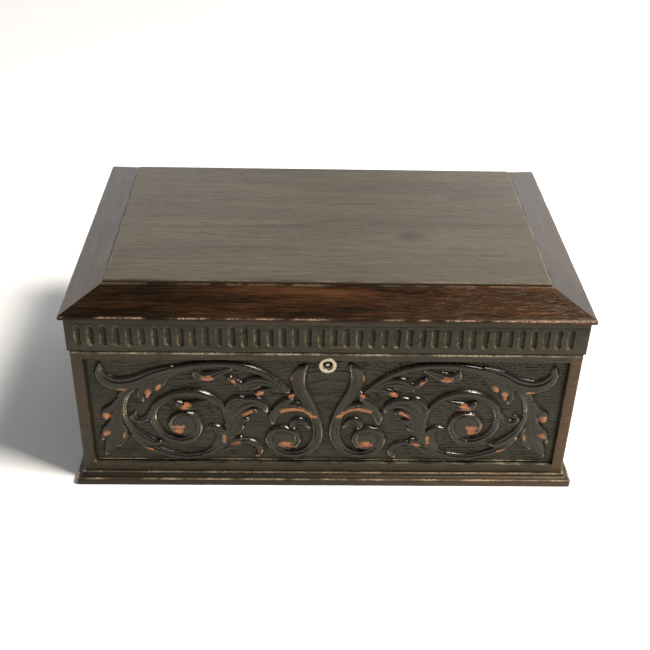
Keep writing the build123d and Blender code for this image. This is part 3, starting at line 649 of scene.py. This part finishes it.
def bevel_section(half_span):
    """(outward offset, height) rows of the moulding's section, in millimetres, from its ledge."""
    foot = BEVEL[0].z / MM
    top = BEVEL[1].z / MM
    inside = PANEL[1].x / MM + 0.15 - SIDE_BEVEL[1].x / MM + half_span
    ledge = half_span - (SIDE_BEVEL[1].x - SIDE_BEVEL[0].x) / MM
    panel_foot = PANEL[0].z / MM
    slope = math.atan2(top - foot - UPRIGHT_EDGE, half_span - inside)
    rows = [(ledge, foot)]
    rows += [(x, foot) for x in np.linspace(ledge, half_span - 0.4, 8)[1:]]
    rows += [(half_span - 0.1, foot + 0.12), (half_span, foot + 0.4)]
    # round the arris between the upright edge and the slope
    reach = ARRIS_ROUND * math.tan((math.pi / 2 - slope) / 2)
    centre = (half_span - ARRIS_ROUND, foot + UPRIGHT_EDGE - reach)
    for a in np.linspace(0, math.pi / 2 - slope, 7):
        rows.append((centre[0] + ARRIS_ROUND * math.cos(a), centre[1] + ARRIS_ROUND * math.sin(a)))
    start = rows[-1]
    for t in np.linspace(0, 1, 16)[1:-1]:
        rows.append((start[0] + (inside + 0.5 - start[0]) * t, start[1] + (top - 0.1 - start[1]) * t))
    rows += [(inside + 0.35, top - 0.06), (inside + 0.1, top - 0.18), (inside, top - 0.45)]
    rows += [(inside, panel_foot), (ledge, panel_foot)]
    return rows


def make_bevel(name, direction, half_span, half_run, seed):
    """A mitred moulding with a knocked arris and a slightly uneven slope."""
    out = Vector(direction)
    along = Vector((-out.y, out.x, 0))
    rows = bevel_section(half_span)
    stations = int(2 * half_run / STATION_STEP)
    shift = half_run - half_span
    ts = np.linspace(-1, 1, stations)
    offsets = np.array([r[0] for r in rows])
    heights = np.array([r[1] for r in rows])
    foot = heights.min()
    reach = (offsets + shift - MITRE_GAP)[:, None] * ts[None, :]
    o = np.repeat(offsets[:, None], stations, 1)
    z = np.repeat(heights[:, None], stations, 1)
    # knocks on the arris and a faint hand-planed hollow along the slope
    on_arris = bell(o - half_span, 1.2) * smooth(foot + 0.5, foot + 2, z)
    knock = np.clip(rough_noise(reach / 5, z * 0 + seed, seed, 4) - 0.15, 0, 1)
    o = o - on_arris * (0.08 + 0.5 * knock)
    on_slope = smooth(foot + 2.6, foot + 4, z) * (offsets[:, None] > offsets.min() + 6.2)
    z = z - on_slope * (0.05 + 0.06 * rough_noise(reach / 45, o / 9, seed + 1))
    corner = smooth(half_run - 1.4, half_run, np.abs(reach)) * smooth(half_span - 2, half_span, o)
    o = o - 0.35 * corner
    reach = reach - np.sign(reach) * 0.35 * corner
    verts = [
        tuple((out * ov + along * rv) * MM + Vector((0, 0, zv * MM)))
        for ov, rv, zv in zip(o.ravel(), reach.ravel(), z.ravel())
    ]
    n = len(rows)
    faces = grid_faces(n, stations, True, False)
    faces.append(tuple(i * stations for i in range(n)))
    faces.append(tuple(i * stations + stations - 1 for i in range(n))[::-1])
    obj = make_object(name, verts, faces)
    # worn line along the arris with painted glints, strongest where it was knocked, and a thin light line
    # along the top, wear with painted glint
    line = bell(z - foot - 1.9, 0.34) * (o > half_span - 2.2)
    patch = smooth(-0.35, 0.5, rough_noise(reach / 9, z * 0, seed + 3, 4))
    top_line = 0.5 * bell(z - heights.max() + 0.16, 0.12) * smooth(0.1, 0.5, patch)
    set_attribute(obj, "ridge", np.clip(line * patch + top_line, 0, 1).ravel())
    # painted shadow line along the top edge, under the panel's edge
    set_attribute(obj, "hollow", smooth(heights.max() - 0.12, heights.max() - 0.02, z).ravel() * 0.8)
    shade_smooth(obj, 40)
    return obj


# ---------------------------------------------------------------- boards with moulded or rounded edges

EDGE_STEP = 1.6


def edge_board(name, rows, half_x, half_y, corner, seed, wander):
    """A closed board from (inset, z) rows, in millimetres, carried round a rectangle with eased corners."""
    loops = []
    for inset, z in rows:
        hx, hy = half_x - inset, half_y - inset
        r = max(corner - 0.3 * inset, 0.4)
        pts = []
        for sign_x, sign_y, start in ((1, -1, -90), (1, 1, 0), (-1, 1, 90), (-1, -1, 180)):
            cx, cy = sign_x * (hx - r), sign_y * (hy - r)
            for a in np.linspace(start, start + 90, 5):
                pts.append((cx + r * math.cos(math.radians(a)), cy + r * math.sin(math.radians(a))))
        loops.append(pts)
    first = loops[0]
    counts = [max(1, int(math.dist(a, b) / EDGE_STEP)) for a, b in zip(first, first[1:] + first[:1])]
    dense = []
    for (inset, z), pts in zip(rows, loops):
        ring = []
        for a, b, count in zip(pts, pts[1:] + pts[:1], counts):
            for k in range(count):
                t = k / count
                ring.append((a[0] + (b[0] - a[0]) * t, a[1] + (b[1] - a[1]) * t, z))
        dense.append(ring)
    grid = np.array(dense)
    per = grid.shape[1]
    run = np.arange(per) * EDGE_STEP
    knock = np.clip(rough_noise(run / 6, run * 0 + seed, seed, 4) - 0.2, 0, 1)[None, :]
    flat = np.hypot(grid[..., 0], grid[..., 1])[..., None]
    pull = wander * (0.15 + knock)[..., None]
    inward = -grid[..., :2] / flat
    keep = np.array([0 if i in (0, len(rows) - 1) else 1 for i in range(len(rows))])[:, None, None]
    grid[..., :2] += inward * pull * keep
    verts = (grid.reshape(-1, 3) * MM).tolist()
    faces = grid_faces(len(rows), per, False, True)
    faces.append(tuple(range(per))[::-1])
    faces.append(tuple((len(rows) - 1) * per + k for k in range(per)))
    return make_object(name, verts, faces), per


def quarter_round(radius, top, first):
    """(inset, z) rows that round an edge over to its top, from the angle first."""
    angles = np.linspace(first, math.pi / 2, 6)
    return [(radius * (1 - math.cos(a)), top - radius + radius * math.sin(a)) for a in angles]


def make_base():
    """The moulded base board: a rounded nose, a flat and a shallow cove up to a thin arris."""
    top = BASE[1].z / MM
    half_x, half_y = BASE[1].x / MM, BASE[1].y / MM
    cove_foot, cove_head, nose_top = 1.6, 4.2, top - 2.2
    rows = [(1.0, 0.0), (0.35, 0.05), (0.06, 0.35), (0, 0.9), (0, 2.2), (0, nose_top - 1.3)]
    rows += quarter_round(1.2, nose_top, 0.2)
    rows.append((cove_foot - 0.1, nose_top))
    cove_run, cove_rise = cove_head - cove_foot, top - 0.25 - nose_top
    for t in np.linspace(0, math.pi / 2, 7):
        rows.append((cove_foot + cove_run * math.sin(t), nose_top + cove_rise * (1 - math.cos(t))))
    rows += [(cove_head + 0.12, top - 0.06), (cove_head + 0.4, top), (cove_head + 3.0, top)]
    obj, per = edge_board("moulded_base", rows, half_x, half_y, 1.6, 30, 0.28)
    inset = np.repeat([r[0] for r in rows], per)
    z = np.repeat([r[1] for r in rows], per)
    run = np.tile(np.arange(per) * EDGE_STEP, len(rows))
    patch = smooth(-0.3, 0.45, rough_noise(run / 8, z / 9, 31, 4))
    nose = bell(z - nose_top + 0.15, 0.3) * (inset < 1.3)
    arris = bell(z - top, 0.2) * (inset > 3.9) * (inset < 4.7)
    # light lines on the nose and the thin top arris, partly wear and partly painted highlight
    set_attribute(obj, "ridge", np.clip(nose * (0.12 + 0.88 * patch) + arris * (0.2 + 0.5 * patch), 0, 1))
    co = coordinates(obj)
    far = smooth(0.986, 1.0, np.abs(co[:, 0]) / BASE[1].x) * smooth(0.97, 1.0, np.abs(co[:, 1]) / BASE[1].y)
    set_attribute(obj, "bare", np.clip(far * 1.4, 0, 1) * np.clip(smooth(0.2, 2.5, z), 0, 1))
    # painted shade in the cove
    set_attribute(obj, "hollow", np.clip(bell(z - top + 1.2, 0.8) * (inset > 1.7) * 0.8, 0, 1))
    shade_smooth(obj, 50)
    return obj


def make_panel():
    """The flat panel of the lid, with its edges eased by handling."""
    foot, top = PANEL[0].z / MM, PANEL[1].z / MM
    rows = [(0.3, foot), (0, foot + 0.3), (0, top - 1.1)]
    rows += quarter_round(0.9, top, 0.25)
    rows += [(1.5, top), (4.0, top)]
    obj, per = edge_board("lid_panel", rows, PANEL[1].x / MM, PANEL[1].y / MM, 0.9, 50, 0.1)
    z = np.repeat([r[1] for r in rows], per)
    inset = np.repeat([r[0] for r in rows], per)
    run = np.tile(np.arange(per) * EDGE_STEP, len(rows))
    patch = smooth(-0.2, 0.6, rough_noise(run / 12, z * 0, 51, 4))
    # a light line on the top arris, partly wear and partly painted highlight, and painted shade over the
    # panel's sides
    set_attribute(obj, "ridge", bell(inset - 0.6, 0.25) * (z > top - 0.5) * (0.45 * patch))
    set_attribute(obj, "hollow", (z < top - 0.7).astype(float))
    shade_smooth(obj, 50)
    return obj


# ---------------------------------------------------------------- turned metal

def lathe(name, profile, sides=72):
    """Turn (radius, y) rows, in millimetres, about the key's axis."""
    angles = [2 * math.pi * k / sides for k in range(sides)]
    verts = [
        (KEY.x + r * MM * math.cos(a), y * MM, KEY.z + r * MM * math.sin(a))
        for r, y in profile
        for a in angles
    ]
    obj = make_object(name, verts, grid_faces(len(profile), sides, True, True))
    shade_smooth(obj, 30)
    return obj


def make_ring():
    """A plain round ring with a dished face and a step inside the bore."""
    outer = RING_HALF
    face = RING[0].y / MM
    back = RING[1].y / MM
    bore = 3.2
    profile = [
        (outer - 0.25, back), (outer - 0.05, face + 0.8), (outer, face + 0.45),
        (outer - 0.12, face + 0.18), (outer - 0.42, face + 0.03), (outer - 0.8, face),
        (bore + 0.6, face + 0.1), (bore + 0.22, face + 0.18), (bore, face + 0.42),
        (bore, face + 1.6), (bore - 0.35, face + 1.75), (bore - 0.35, back),
    ]
    return lathe("keyhole_ring", profile)


def make_drill_pin():
    """The pin that the piped key turns on, with a turned centre in its tip."""
    radius = (PIN[1].x - PIN[0].x) / 2 / MM
    tip, back = PIN[0].y / MM, PIN[1].y / MM
    profile = [
        (0.02, back), (radius, back), (radius, tip + 0.5), (radius - 0.12, tip + 0.2),
        (radius - 0.4, tip), (0.5, tip), (0.3, tip + 0.25), (0.02, tip + 0.3),
    ]
    return lathe("key_post", profile, 40)


# ---------------------------------------------------------------- materials

class Graph:
    """The nodes of a material or a world, added one by one."""

    def __init__(self, owner, space="Object"):
        self.owner = owner
        owner.use_nodes = True
        self.tree = owner.node_tree
        self.tree.nodes.clear()
        self.coords = self.node("ShaderNodeTexCoord").outputs[space]

    def node(self, kind, inputs=(), **settings):
        made = self.tree.nodes.new(kind)
        for key, value in settings.items():
            setattr(made, key, value)
        for key, value in dict(inputs).items():
            if isinstance(value, bpy.types.NodeSocket):
                self.tree.links.new(value, made.inputs[key])
            else:
                made.inputs[key].default_value = value
        return made

    def math(self, operation, a, b=0.0, clamp=False):
        return self.node("ShaderNodeMath", {0: a, 1: b}, operation=operation, use_clamp=clamp).outputs[0]

    def times(self, a, b, clamp=False):
        return self.math("MULTIPLY", a, b, clamp)

    def plus(self, a, b, clamp=False):
        return self.math("ADD", a, b, clamp)

    def minus(self, a, b, clamp=False):
        return self.math("SUBTRACT", a, b, clamp)

    def axes(self):
        return self.node("ShaderNodeSeparateXYZ", {0: self.coords}).outputs

    def mix(self, factor, a, b, blend="MIX"):
        made = self.node("ShaderNodeMix", {0: factor, 6: a, 7: b}, data_type="RGBA", blend_type=blend)
        return made.outputs[2]

    def cover(self, colour, mask, share, tone):
        """Lay a plain tone over a colour, by a share of a mask."""
        return self.mix(self.times(mask, share), colour, (*tone, 1))

    def noise(self, scale, detail=3.0, rough=0.55, distort=0.0, shift=(0, 0, 0)):
        """Noise with cells per metre, the same along each axis or a value for each."""
        scales = scale if isinstance(scale, tuple) else (scale,) * 3
        placed = {"Vector": self.coords, "Scale": scales, "Location": shift}
        inputs = {"Vector": self.node("ShaderNodeMapping", placed).outputs[0], "Scale": 1.0}
        inputs.update({"Detail": detail, "Roughness": rough, "Distortion": distort})
        return self.node("ShaderNodeTexNoise", inputs).outputs[0]

    def ramp(self, value, stops):
        made = self.node("ShaderNodeValToRGB", {0: value})
        elements = made.color_ramp.elements
        while len(elements) < len(stops):
            elements.new(0.5)
        for element, (place, colour) in zip(elements, stops):
            element.position = place
            element.color = (*colour, 1)
        return made.outputs[0]

    def step(self, value, low, high):
        inputs = {"Value": value, "From Min": low, "From Max": high}
        return self.node("ShaderNodeMapRange", inputs, interpolation_type="SMOOTHSTEP").outputs[0]

    def attribute(self, name):
        return self.node("ShaderNodeAttribute", attribute_name=name).outputs["Fac"]

    def bump(self, height, strength, distance):
        inputs = {"Height": height, "Strength": strength, "Distance": distance}
        return self.node("ShaderNodeBump", inputs).outputs[0]

    def finish(self, **values):
        """A principled surface, whose inputs are named in words joined by underscores."""
        inputs = {key.replace("_", " "): value for key, value in values.items()}
        shader = self.node("ShaderNodeBsdfPrincipled", inputs)
        self.node("ShaderNodeOutputMaterial", {"Surface": shader.outputs[0]})
        return self.owner


def material_graph(name):
    return Graph(bpy.data.materials.new(name))


def grain_scale(axis, across, ratio):
    """Noise scale per metre that is stretched along one axis."""
    scale = [across] * 3
    scale["XYZ".index(axis)] = across / ratio
    return tuple(scale)


def inside_mask(g):
    """1 on the faces that look into the box, found from where they lie in the piece's own frame."""
    near = 0.1 * MM
    x, y, z = g.axes()
    length = g.math("LESS_THAN", g.math("ABSOLUTE", x), RIGHT[0].x + near)
    depth = g.math("LESS_THAN", g.math("ABSOLUTE", y), near - FRONT[1].y)
    low = g.math("GREATER_THAN", z, BASE[1].z - 2 * near)
    high = g.math("LESS_THAN", z, PANEL[0].z + near)
    return g.times(g.times(length, depth), g.times(low, high))


def damp_spot(g, place):
    """1 in the middle of an old spot of damp, which is longer along X than along Y."""
    away = g.node("ShaderNodeVectorMath", {0: g.coords, 1: place}, operation="SUBTRACT").outputs[0]
    away = g.node("ShaderNodeVectorMath", {0: away, 1: (1, 1.3, 0)}, operation="MULTIPLY").outputs[0]
    far = g.node("ShaderNodeVectorMath", {0: away}, operation="LENGTH").outputs["Value"]
    far = g.plus(far, g.times(g.noise(120, 3, 0.6), 12 * MM))
    return g.minus(1.0, g.step(far, 6 * MM, 19 * MM))


SHEEN_TINT = (1.0, 0.93, 0.72, 1)
RAW_WOOD = [(0.35, (0.20, 0.10, 0.05)), (0.5, (0.29, 0.155, 0.08)), (0.68, (0.38, 0.22, 0.12))]


def wood(name, axis, tones, figure, rough, spec, coat, bump, flecks, wear_and_light=None, across=None, stain=None):
    """A stained board: broad figure, fine fibres, pores, short flecks, and the wear, painted shade and
    painted highlights its attributes give.
    """
    g = material_graph(name)
    broad = g.noise(grain_scale(axis, figure, 9), 4, 0.5, 0.8)
    fibres = g.noise(grain_scale(axis, figure * 14, 14), 5, 0.62, 0.15, (3, 1, 2))
    pores = g.noise(grain_scale(axis, figure * 30, 20), 2, 0.5, 0.0, (7, 5, 1))
    patches = g.noise(9, 3, 0.5, 0.3, (1, 8, 3))
    blend = g.plus(g.times(broad, 0.55), g.times(fibres, 0.45))
    colour = g.ramp(blend, [(0.38, tones[0]), (0.5, tones[1]), (0.63, tones[2])])
    pore = g.step(pores, 0.58, 0.7)
    colour = g.cover(colour, pore, 0.6, [t * 0.3 for t in tones[0]])
    colour = g.cover(colour, g.step(patches, 0.45, 0.7), 0.5, tones[3])
    line = g.noise(grain_scale(axis, figure * 7, 18), 4, 0.7, 0.4, (2, 9, 4))
    colour = g.cover(colour, g.step(line, 0.54, 0.7), flecks, tones[4])
    dark = g.noise(grain_scale(axis, figure * 5, 14), 4, 0.6, 0.6, (5, 2, 6))
    colour = g.cover(colour, g.step(dark, 0.54, 0.68), flecks, [t * 0.5 for t in tones[0]])

    def two_tones(pair, low):
        return g.ramp(fibres, [(low, pair[0]), (1 - low, pair[1])])

    if across:
        # painted light: the colour is scaled from darker at the left end of the board to lighter at the
        # right end, as the key light falls from the right
        share = g.plus(g.step(g.axes()[0], -HALF_LENGTH, HALF_LENGTH), g.times(g.minus(broad, 0.5), 0.8))
        colour = g.mix(1.0, colour, g.ramp(share, [(0.1, across[0]), (0.9, across[1])]), "MULTIPLY")
    if stain:
        colour = g.cover(colour, damp_spot(g, stain), 0.8, (0.012, 0.010, 0.008))
    roughness = g.plus(g.times(g.noise(60, 4, 0.6), rough[1] - rough[0]), rough[0] - 0.12)
    roughness = g.plus(roughness, g.times(fibres, 0.24), clamp=True)
    crumbs = g.noise(1100, 3, 0.7, 0.0, (4, 4, 9))
    if wear_and_light:
        hollow = g.attribute("hollow")
        if "corner" in wear_and_light:
            border = g.attribute("border")
            colour = g.mix(g.times(border, 0.7), colour, two_tones(wear_and_light["frame"], 0.36))
            x = g.axes()[0]
            ends = g.step(g.math("ABSOLUTE", x), HALF_LENGTH - 11 * MM, HALF_LENGTH - 3 * MM)
            ends = g.times(g.times(ends, border), g.step(g.plus(patches, g.times(x, 1.2)), 0.2, 0.6))
            colour = g.mix(ends, colour, two_tones(wear_and_light["corner"], 0.36))
        # painted shade in recesses and on walls that face away from the light, and a light tone on arrises,
        # partly wear and partly painted highlight
        colour = g.cover(colour, hollow, wear_and_light["hollow_share"], wear_and_light["hollow"])
        edge = g.times(g.attribute("ridge"), g.step(crumbs, 0.36, 0.6), clamp=True)
        colour = g.cover(colour, edge, wear_and_light["edge_share"], wear_and_light["edge"])
        roughness = g.plus(roughness, g.times(hollow, 0.2), clamp=True)
        if "polish" in wear_and_light:
            # the up-facing slopes get a painted shade, dark, and shine mostly by their coat
            upward_shade_gloss = g.attribute("raised")
            colour = g.cover(colour, upward_shade_gloss, 0.95, wear_and_light["upward_shade"])
            roughness = g.minus(roughness, g.times(upward_shade_gloss, wear_and_light["polish"]), clamp=True)
            spec = g.times(g.minus(1.0, g.times(upward_shade_gloss, 0.9)), spec)
            coat = g.times(upward_shade_gloss, 0.8)
        if "bare" in wear_and_light:
            bareness = g.attribute("bare")
            nibble = g.times(g.noise(480, 5, 0.75), 1.1)
            bare = g.step(g.minus(g.times(bareness, 1.3), nibble), -0.15, 0.5)
            smoke = g.step(g.noise(260, 4, 0.7, 0.0, (6, 2, 8)), 0.5, 0.72)
            bare_tone = g.cover(two_tones(wear_and_light["bare"], 0.35), smoke, 0.6, (0.16, 0.07, 0.038))
            rim = g.times(g.minus(1.1, bareness, clamp=True), 1.5, clamp=True)
            bare_tone = g.mix(rim, bare_tone, (0.06, 0.03, 0.018, 1))
            colour = g.mix(g.times(bare, 0.95), colour, bare_tone)
    inside = inside_mask(g)
    colour = g.mix(inside, colour, g.ramp(blend, RAW_WOOD))
    roughness = g.plus(roughness, g.times(inside, 0.25), clamp=True)
    height = g.plus(g.plus(g.times(fibres, 0.7), g.times(pore, -0.8)), g.times(crumbs, 0.25))
    return g.finish(
        Base_Color=colour, Roughness=roughness, Normal=g.bump(height, bump, 0.22 * MM),
        Specular_IOR_Level=spec, Specular_Tint=SHEEN_TINT,
        Coat_Weight=coat, Coat_Roughness=0.2, Coat_Tint=SHEEN_TINT,
    )


def metal(name, base, dirt, rough, dirt_share):
    """Handled metal: tarnish in soft patches, fine scratches and specks."""
    g = material_graph(name)
    cloud = g.noise(260, 5, 0.6, 0.4)
    scratch = g.noise((2600, 380, 2600), 3, 0.6, 0.2)
    speck = g.noise(1500, 2, 0.5)
    colour = g.ramp(scratch, [(0.35, tuple(c * 0.82 for c in base)), (0.65, base)])
    colour = g.cover(colour, g.step(cloud, 0.42, 0.68), dirt_share, dirt)
    colour = g.cover(colour, g.step(speck, 0.66, 0.74), 0.6, [d * 0.5 for d in dirt])
    roughness = g.plus(g.times(cloud, 0.35), rough, clamp=True)
    normal = g.bump(g.plus(scratch, speck), 0.25, 0.06 * MM)
    return g.finish(Base_Color=colour, Roughness=roughness, Normal=normal, Metallic=1.0)


# Tones of each wood: the dark, middle and light of its figure, its cloudy patches and its flecks
EBONY = [
    (0.005, 0.0045, 0.0033), (0.0118, 0.0109, 0.0076), (0.0245, 0.022, 0.0152),
    (0.0125, 0.0092, 0.006), (0.040, 0.029, 0.0175),
]
CASE_TONES = [
    (0.009, 0.0062, 0.0038), (0.020, 0.0143, 0.009), (0.038, 0.0267, 0.0162),
    (0.024, 0.0143, 0.0083), (0.060, 0.033, 0.0172),
]
MAHOGANY = [
    (0.005, 0.0026, 0.0015), (0.018, 0.0085, 0.0042), (0.046, 0.021, 0.010),
    (0.013, 0.0075, 0.0045), (0.082, 0.036, 0.015),
]
PANEL_TONES = [
    (0.031, 0.0245, 0.017), (0.049, 0.0385, 0.0265), (0.070, 0.054, 0.036),
    (0.043, 0.035, 0.0255), (0.083, 0.056, 0.034),
]
RAIL_TONES = [
    (0.0075, 0.0064, 0.0044), (0.0175, 0.0148, 0.0102), (0.034, 0.028, 0.0185),
    (0.021, 0.0152, 0.0098), (0.060, 0.043, 0.026),
]

# Tones and shares of the wear, painted shade and painted highlights that the pieces' attributes place
# for the carving, the hollow and up-facing tones are painted shade, the edge tone a light line of wear and
# painted highlight, and the bare tones real worn wood
CARVED_WEAR_AND_PAINTED_LIGHT = {
    "hollow": (0.0015, 0.0015, 0.0012), "hollow_share": 0.9,
    "edge": (0.62, 0.52, 0.38), "edge_share": 0.95,
    "upward_shade": (0.0062, 0.0026, 0.0013), "polish": 0.1,
    "bare": [(0.19, 0.062, 0.025), (0.50, 0.205, 0.09)],
    "corner": [(0.030, 0.014, 0.007), (0.085, 0.042, 0.021)],
    "frame": [(0.010, 0.0065, 0.004), (0.040, 0.027, 0.016)],
}
# for the other pieces the hollow tones are painted shade and the edge tones light lines, partly wear and
# partly painted highlight
EDGE_WEAR_AND_PAINTED_LIGHT = {
    "hollow": (0.010, 0.008, 0.006), "hollow_share": 0.8, "edge": (0.50, 0.34, 0.25), "edge_share": 0.85,
}
RAIL_WEAR_AND_PAINTED_LIGHT = dict(EDGE_WEAR_AND_PAINTED_LIGHT, edge=(0.30, 0.24, 0.145), hollow=(0.002, 0.0018, 0.0014), hollow_share=0.92)
BASE_WEAR_AND_PAINTED_LIGHT = dict(EDGE_WEAR_AND_PAINTED_LIGHT, bare=CARVED_WEAR_AND_PAINTED_LIGHT["bare"], edge=(0.44, 0.34, 0.24))
# end factors of a painted light gradient, darker at the left end and lighter at the right
BEVEL_PAINTED_LIGHT_ENDS = (0.5, 0.55, 0.55), (1.6, 1.35, 1.15)
PLINTH_PAINTED_LIGHT_ENDS = (0.36, 0.32, 0.28), (1.6, 1.35, 1.05)
DAMP_PLACE = (52 * MM, -21 * MM, 0.0)

# these finishes carry painted shade and painted highlights from their attributes, and the bevel and plinth
# a painted light gradient
carved = wood("carved_stain_painted_light", "X", EBONY, 70, (0.24, 0.42), 0.3, 0.25, 0.55, 0.3, CARVED_WEAR_AND_PAINTED_LIGHT)
frieze_x = wood("frieze_stain_painted_light_x", "X", RAIL_TONES, 70, (0.32, 0.55), 0.3, 0.0, 0.9, 0.6, RAIL_WEAR_AND_PAINTED_LIGHT)
frieze_y = wood("frieze_stain_painted_light_y", "Y", RAIL_TONES, 70, (0.32, 0.55), 0.45, 0.0, 0.8, 0.35, RAIL_WEAR_AND_PAINTED_LIGHT)
case_x = wood("case_stain_x", "X", CASE_TONES, 60, (0.36, 0.58), 0.35, 0.0, 0.6, 0.5)
case_y = wood("case_stain_y", "Y", CASE_TONES, 60, (0.36, 0.58), 0.35, 0.0, 0.6, 0.5)
plinth = wood("plinth_stain_painted_light", "X", CASE_TONES, 60, (0.3, 0.52), 0.22, 0.1, 0.6, 0.6, BASE_WEAR_AND_PAINTED_LIGHT, PLINTH_PAINTED_LIGHT_ENDS)
bevel_x = wood("bevel_polish_painted_light_x", "X", MAHOGANY, 75, (0.2, 0.32), 0.2, 0.0, 0.25, 0.4, EDGE_WEAR_AND_PAINTED_LIGHT, BEVEL_PAINTED_LIGHT_ENDS)
bevel_y = wood("bevel_polish_painted_light_y", "Y", MAHOGANY, 60, (0.26, 0.4), 0.37, 0.0, 0.3, 0.5, EDGE_WEAR_AND_PAINTED_LIGHT)
top_wood = wood(
    "panel_satin_painted_light", "X", PANEL_TONES, 55, (0.3, 0.44), 0.35, 0.0, 0.8, 0.5, EDGE_WEAR_AND_PAINTED_LIGHT, stain=DAMP_PLACE
)
brass = metal("aged_brass", (0.60, 0.43, 0.19), (0.16, 0.10, 0.05), 0.22, 0.7)
ring_metal = metal("pale_brass", (0.50, 0.44, 0.325), (0.42, 0.33, 0.20), 0.3, 0.45)
steel = metal("dull_steel", (0.42, 0.40, 0.38), (0.12, 0.09, 0.07), 0.28, 0.6)


def dress(obj, material):
    obj.data.materials.clear()
    obj.data.materials.append(material)


# ---------------------------------------------------------------- pieces and their bodies

def adopt(obj, body, node, material):
    """A new piece takes a node's place, body, slot and finish."""
    dress(obj, material)
    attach(obj, body)
    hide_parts(node)


adopt(make_front_board(), "case", "front_board", carved)
adopt(make_base(), "case", "base_board", plinth)
adopt(make_ring(), "case", "escutcheon_ring", ring_metal)
adopt(make_drill_pin(), "case", "drill_pin", steel)
adopt(make_front_rail(), "lid", "lid_rail_front", frieze_x)
for word, side in (("left", -1), ("right", 1)):
    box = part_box(f"lid_rail_{word}")
    rail = make_rail(f"fluted_rail_{word}", box, False, side, box[1].x - box[0].x, 24 + side, 3)
    adopt(rail, "lid", f"lid_rail_{word}", frieze_y)
half_x, half_y = SIDE_BEVEL[1].x / MM, -BEVEL[0].y / MM
for word, direction, span, run, material in (
    ("front", (0, -1, 0), half_y, half_x, bevel_x),
    ("back", (0, 1, 0), half_y, half_x, bevel_x),
    ("left", (-1, 0, 0), half_x, half_y, bevel_y),
    ("right", (1, 0, 0), half_x, half_y, bevel_y),
):
    piece = make_bevel(f"bevelled_{word}", direction, span, run, 60 + len(word))
    adopt(piece, "lid", f"lid_bevel_{word}", material)
adopt(make_panel(), "lid", "top_panel", top_wood)

BY_SLOT = {"brass": brass, "steel": steel, "ring_brass": ring_metal}
slots = {part["node"]: part["material_slot"] for part in frame["record"]["subparts"]}
for node, obj in frame["nodes"].items():
    grain_along_y = node in ("left_side", "right_side")
    dress(obj, case_y if grain_along_y else BY_SLOT.get(slots[node], case_x))


# ---------------------------------------------------------------- floor, light and camera

def make_floor():
    size = 3.0
    g = material_graph("pale_floor")
    tone = g.ramp(g.noise(4, 2), [(0.3, (0.86, 0.86, 0.86)), (0.7, (0.9, 0.9, 0.895))])
    verts = [(-size, -size, 0), (size, -size, 0), (size, size, 0), (-size, size, 0)]
    floor = make_object("floor", verts, [(0, 1, 2, 3)])
    dress(floor, g.finish(Base_Color=tone, Roughness=0.85))


def add_softbox(name, place, target, size, power, tint=(1, 1, 1)):
    data = bpy.data.lights.new(name, "AREA")
    data.shape = "RECTANGLE"
    data.size, data.size_y = size
    data.energy = power
    data.color = tint
    obj = add_object(name, data)
    obj.location = place
    obj.rotation_euler = (Vector(target) - Vector(place)).to_track_quat("-Z", "Y").to_euler()
    obj.visible_camera = False


def light_world():
    """A room that is bright near the horizon and dim overhead."""
    world = bpy.data.worlds.new("studio")
    bpy.context.scene.world = world
    g = Graph(world, "Generated")
    stops = [(0.0, 1.0), (0.45, 0.9), (0.7, 0.5), (0.88, 0.15), (1.0, 0.1)]
    sky = g.ramp(g.axes()[2], [(place, (value, value, value * 1.01)) for place, value in stops])
    back = g.node("ShaderNodeBackground", {"Color": sky, "Strength": 0.4})
    g.node("ShaderNodeOutputWorld", {"Surface": back.outputs[0]})


CAMERA_PLACE = (-0.0174, -0.5861, 0.4361)
CAMERA_YAW = 1.772
CAMERA_PITCH = -33.125
CAMERA_ROLL = 1.484
LENS = 56.53


def add_camera():
    data = bpy.data.cameras.new("camera")
    data.lens = LENS
    data.sensor_width = 36.0
    data.clip_start = 0.01
    obj = add_object("camera", data)
    yaw, pitch, roll = (math.radians(a) for a in (CAMERA_YAW, CAMERA_PITCH, CAMERA_ROLL))
    ahead = Vector((math.sin(yaw) * math.cos(pitch), math.cos(yaw) * math.cos(pitch), math.sin(pitch)))
    right = Vector((math.cos(yaw), -math.sin(yaw), 0))
    up = right.cross(ahead)
    rolled_right = right * math.cos(roll) + up * math.sin(roll)
    rolled_up = up * math.cos(roll) - right * math.sin(roll)
    turn = Matrix((rolled_right, rolled_up, -ahead)).transposed().to_4x4()
    obj.matrix_world = Matrix.Translation(CAMERA_PLACE) @ turn
    bpy.context.scene.camera = obj


make_floor()
light_world()
add_softbox("key", (0.71, -0.33, 1.27), (0, 0, 0.08), (0.46, 0.46), 43, (1.0, 0.95, 0.86))
add_softbox("back_right", (1.15, 1.6, 0.9), (0, 0, 0.1), (2.2, 1.5), 14)
add_softbox("back_left", (-0.95, 1.7, 0.9), (0, 0, 0.1), (2.2, 1.5), 10.5)
add_camera()
bpy.context.scene.view_settings.view_transform = "Standard"
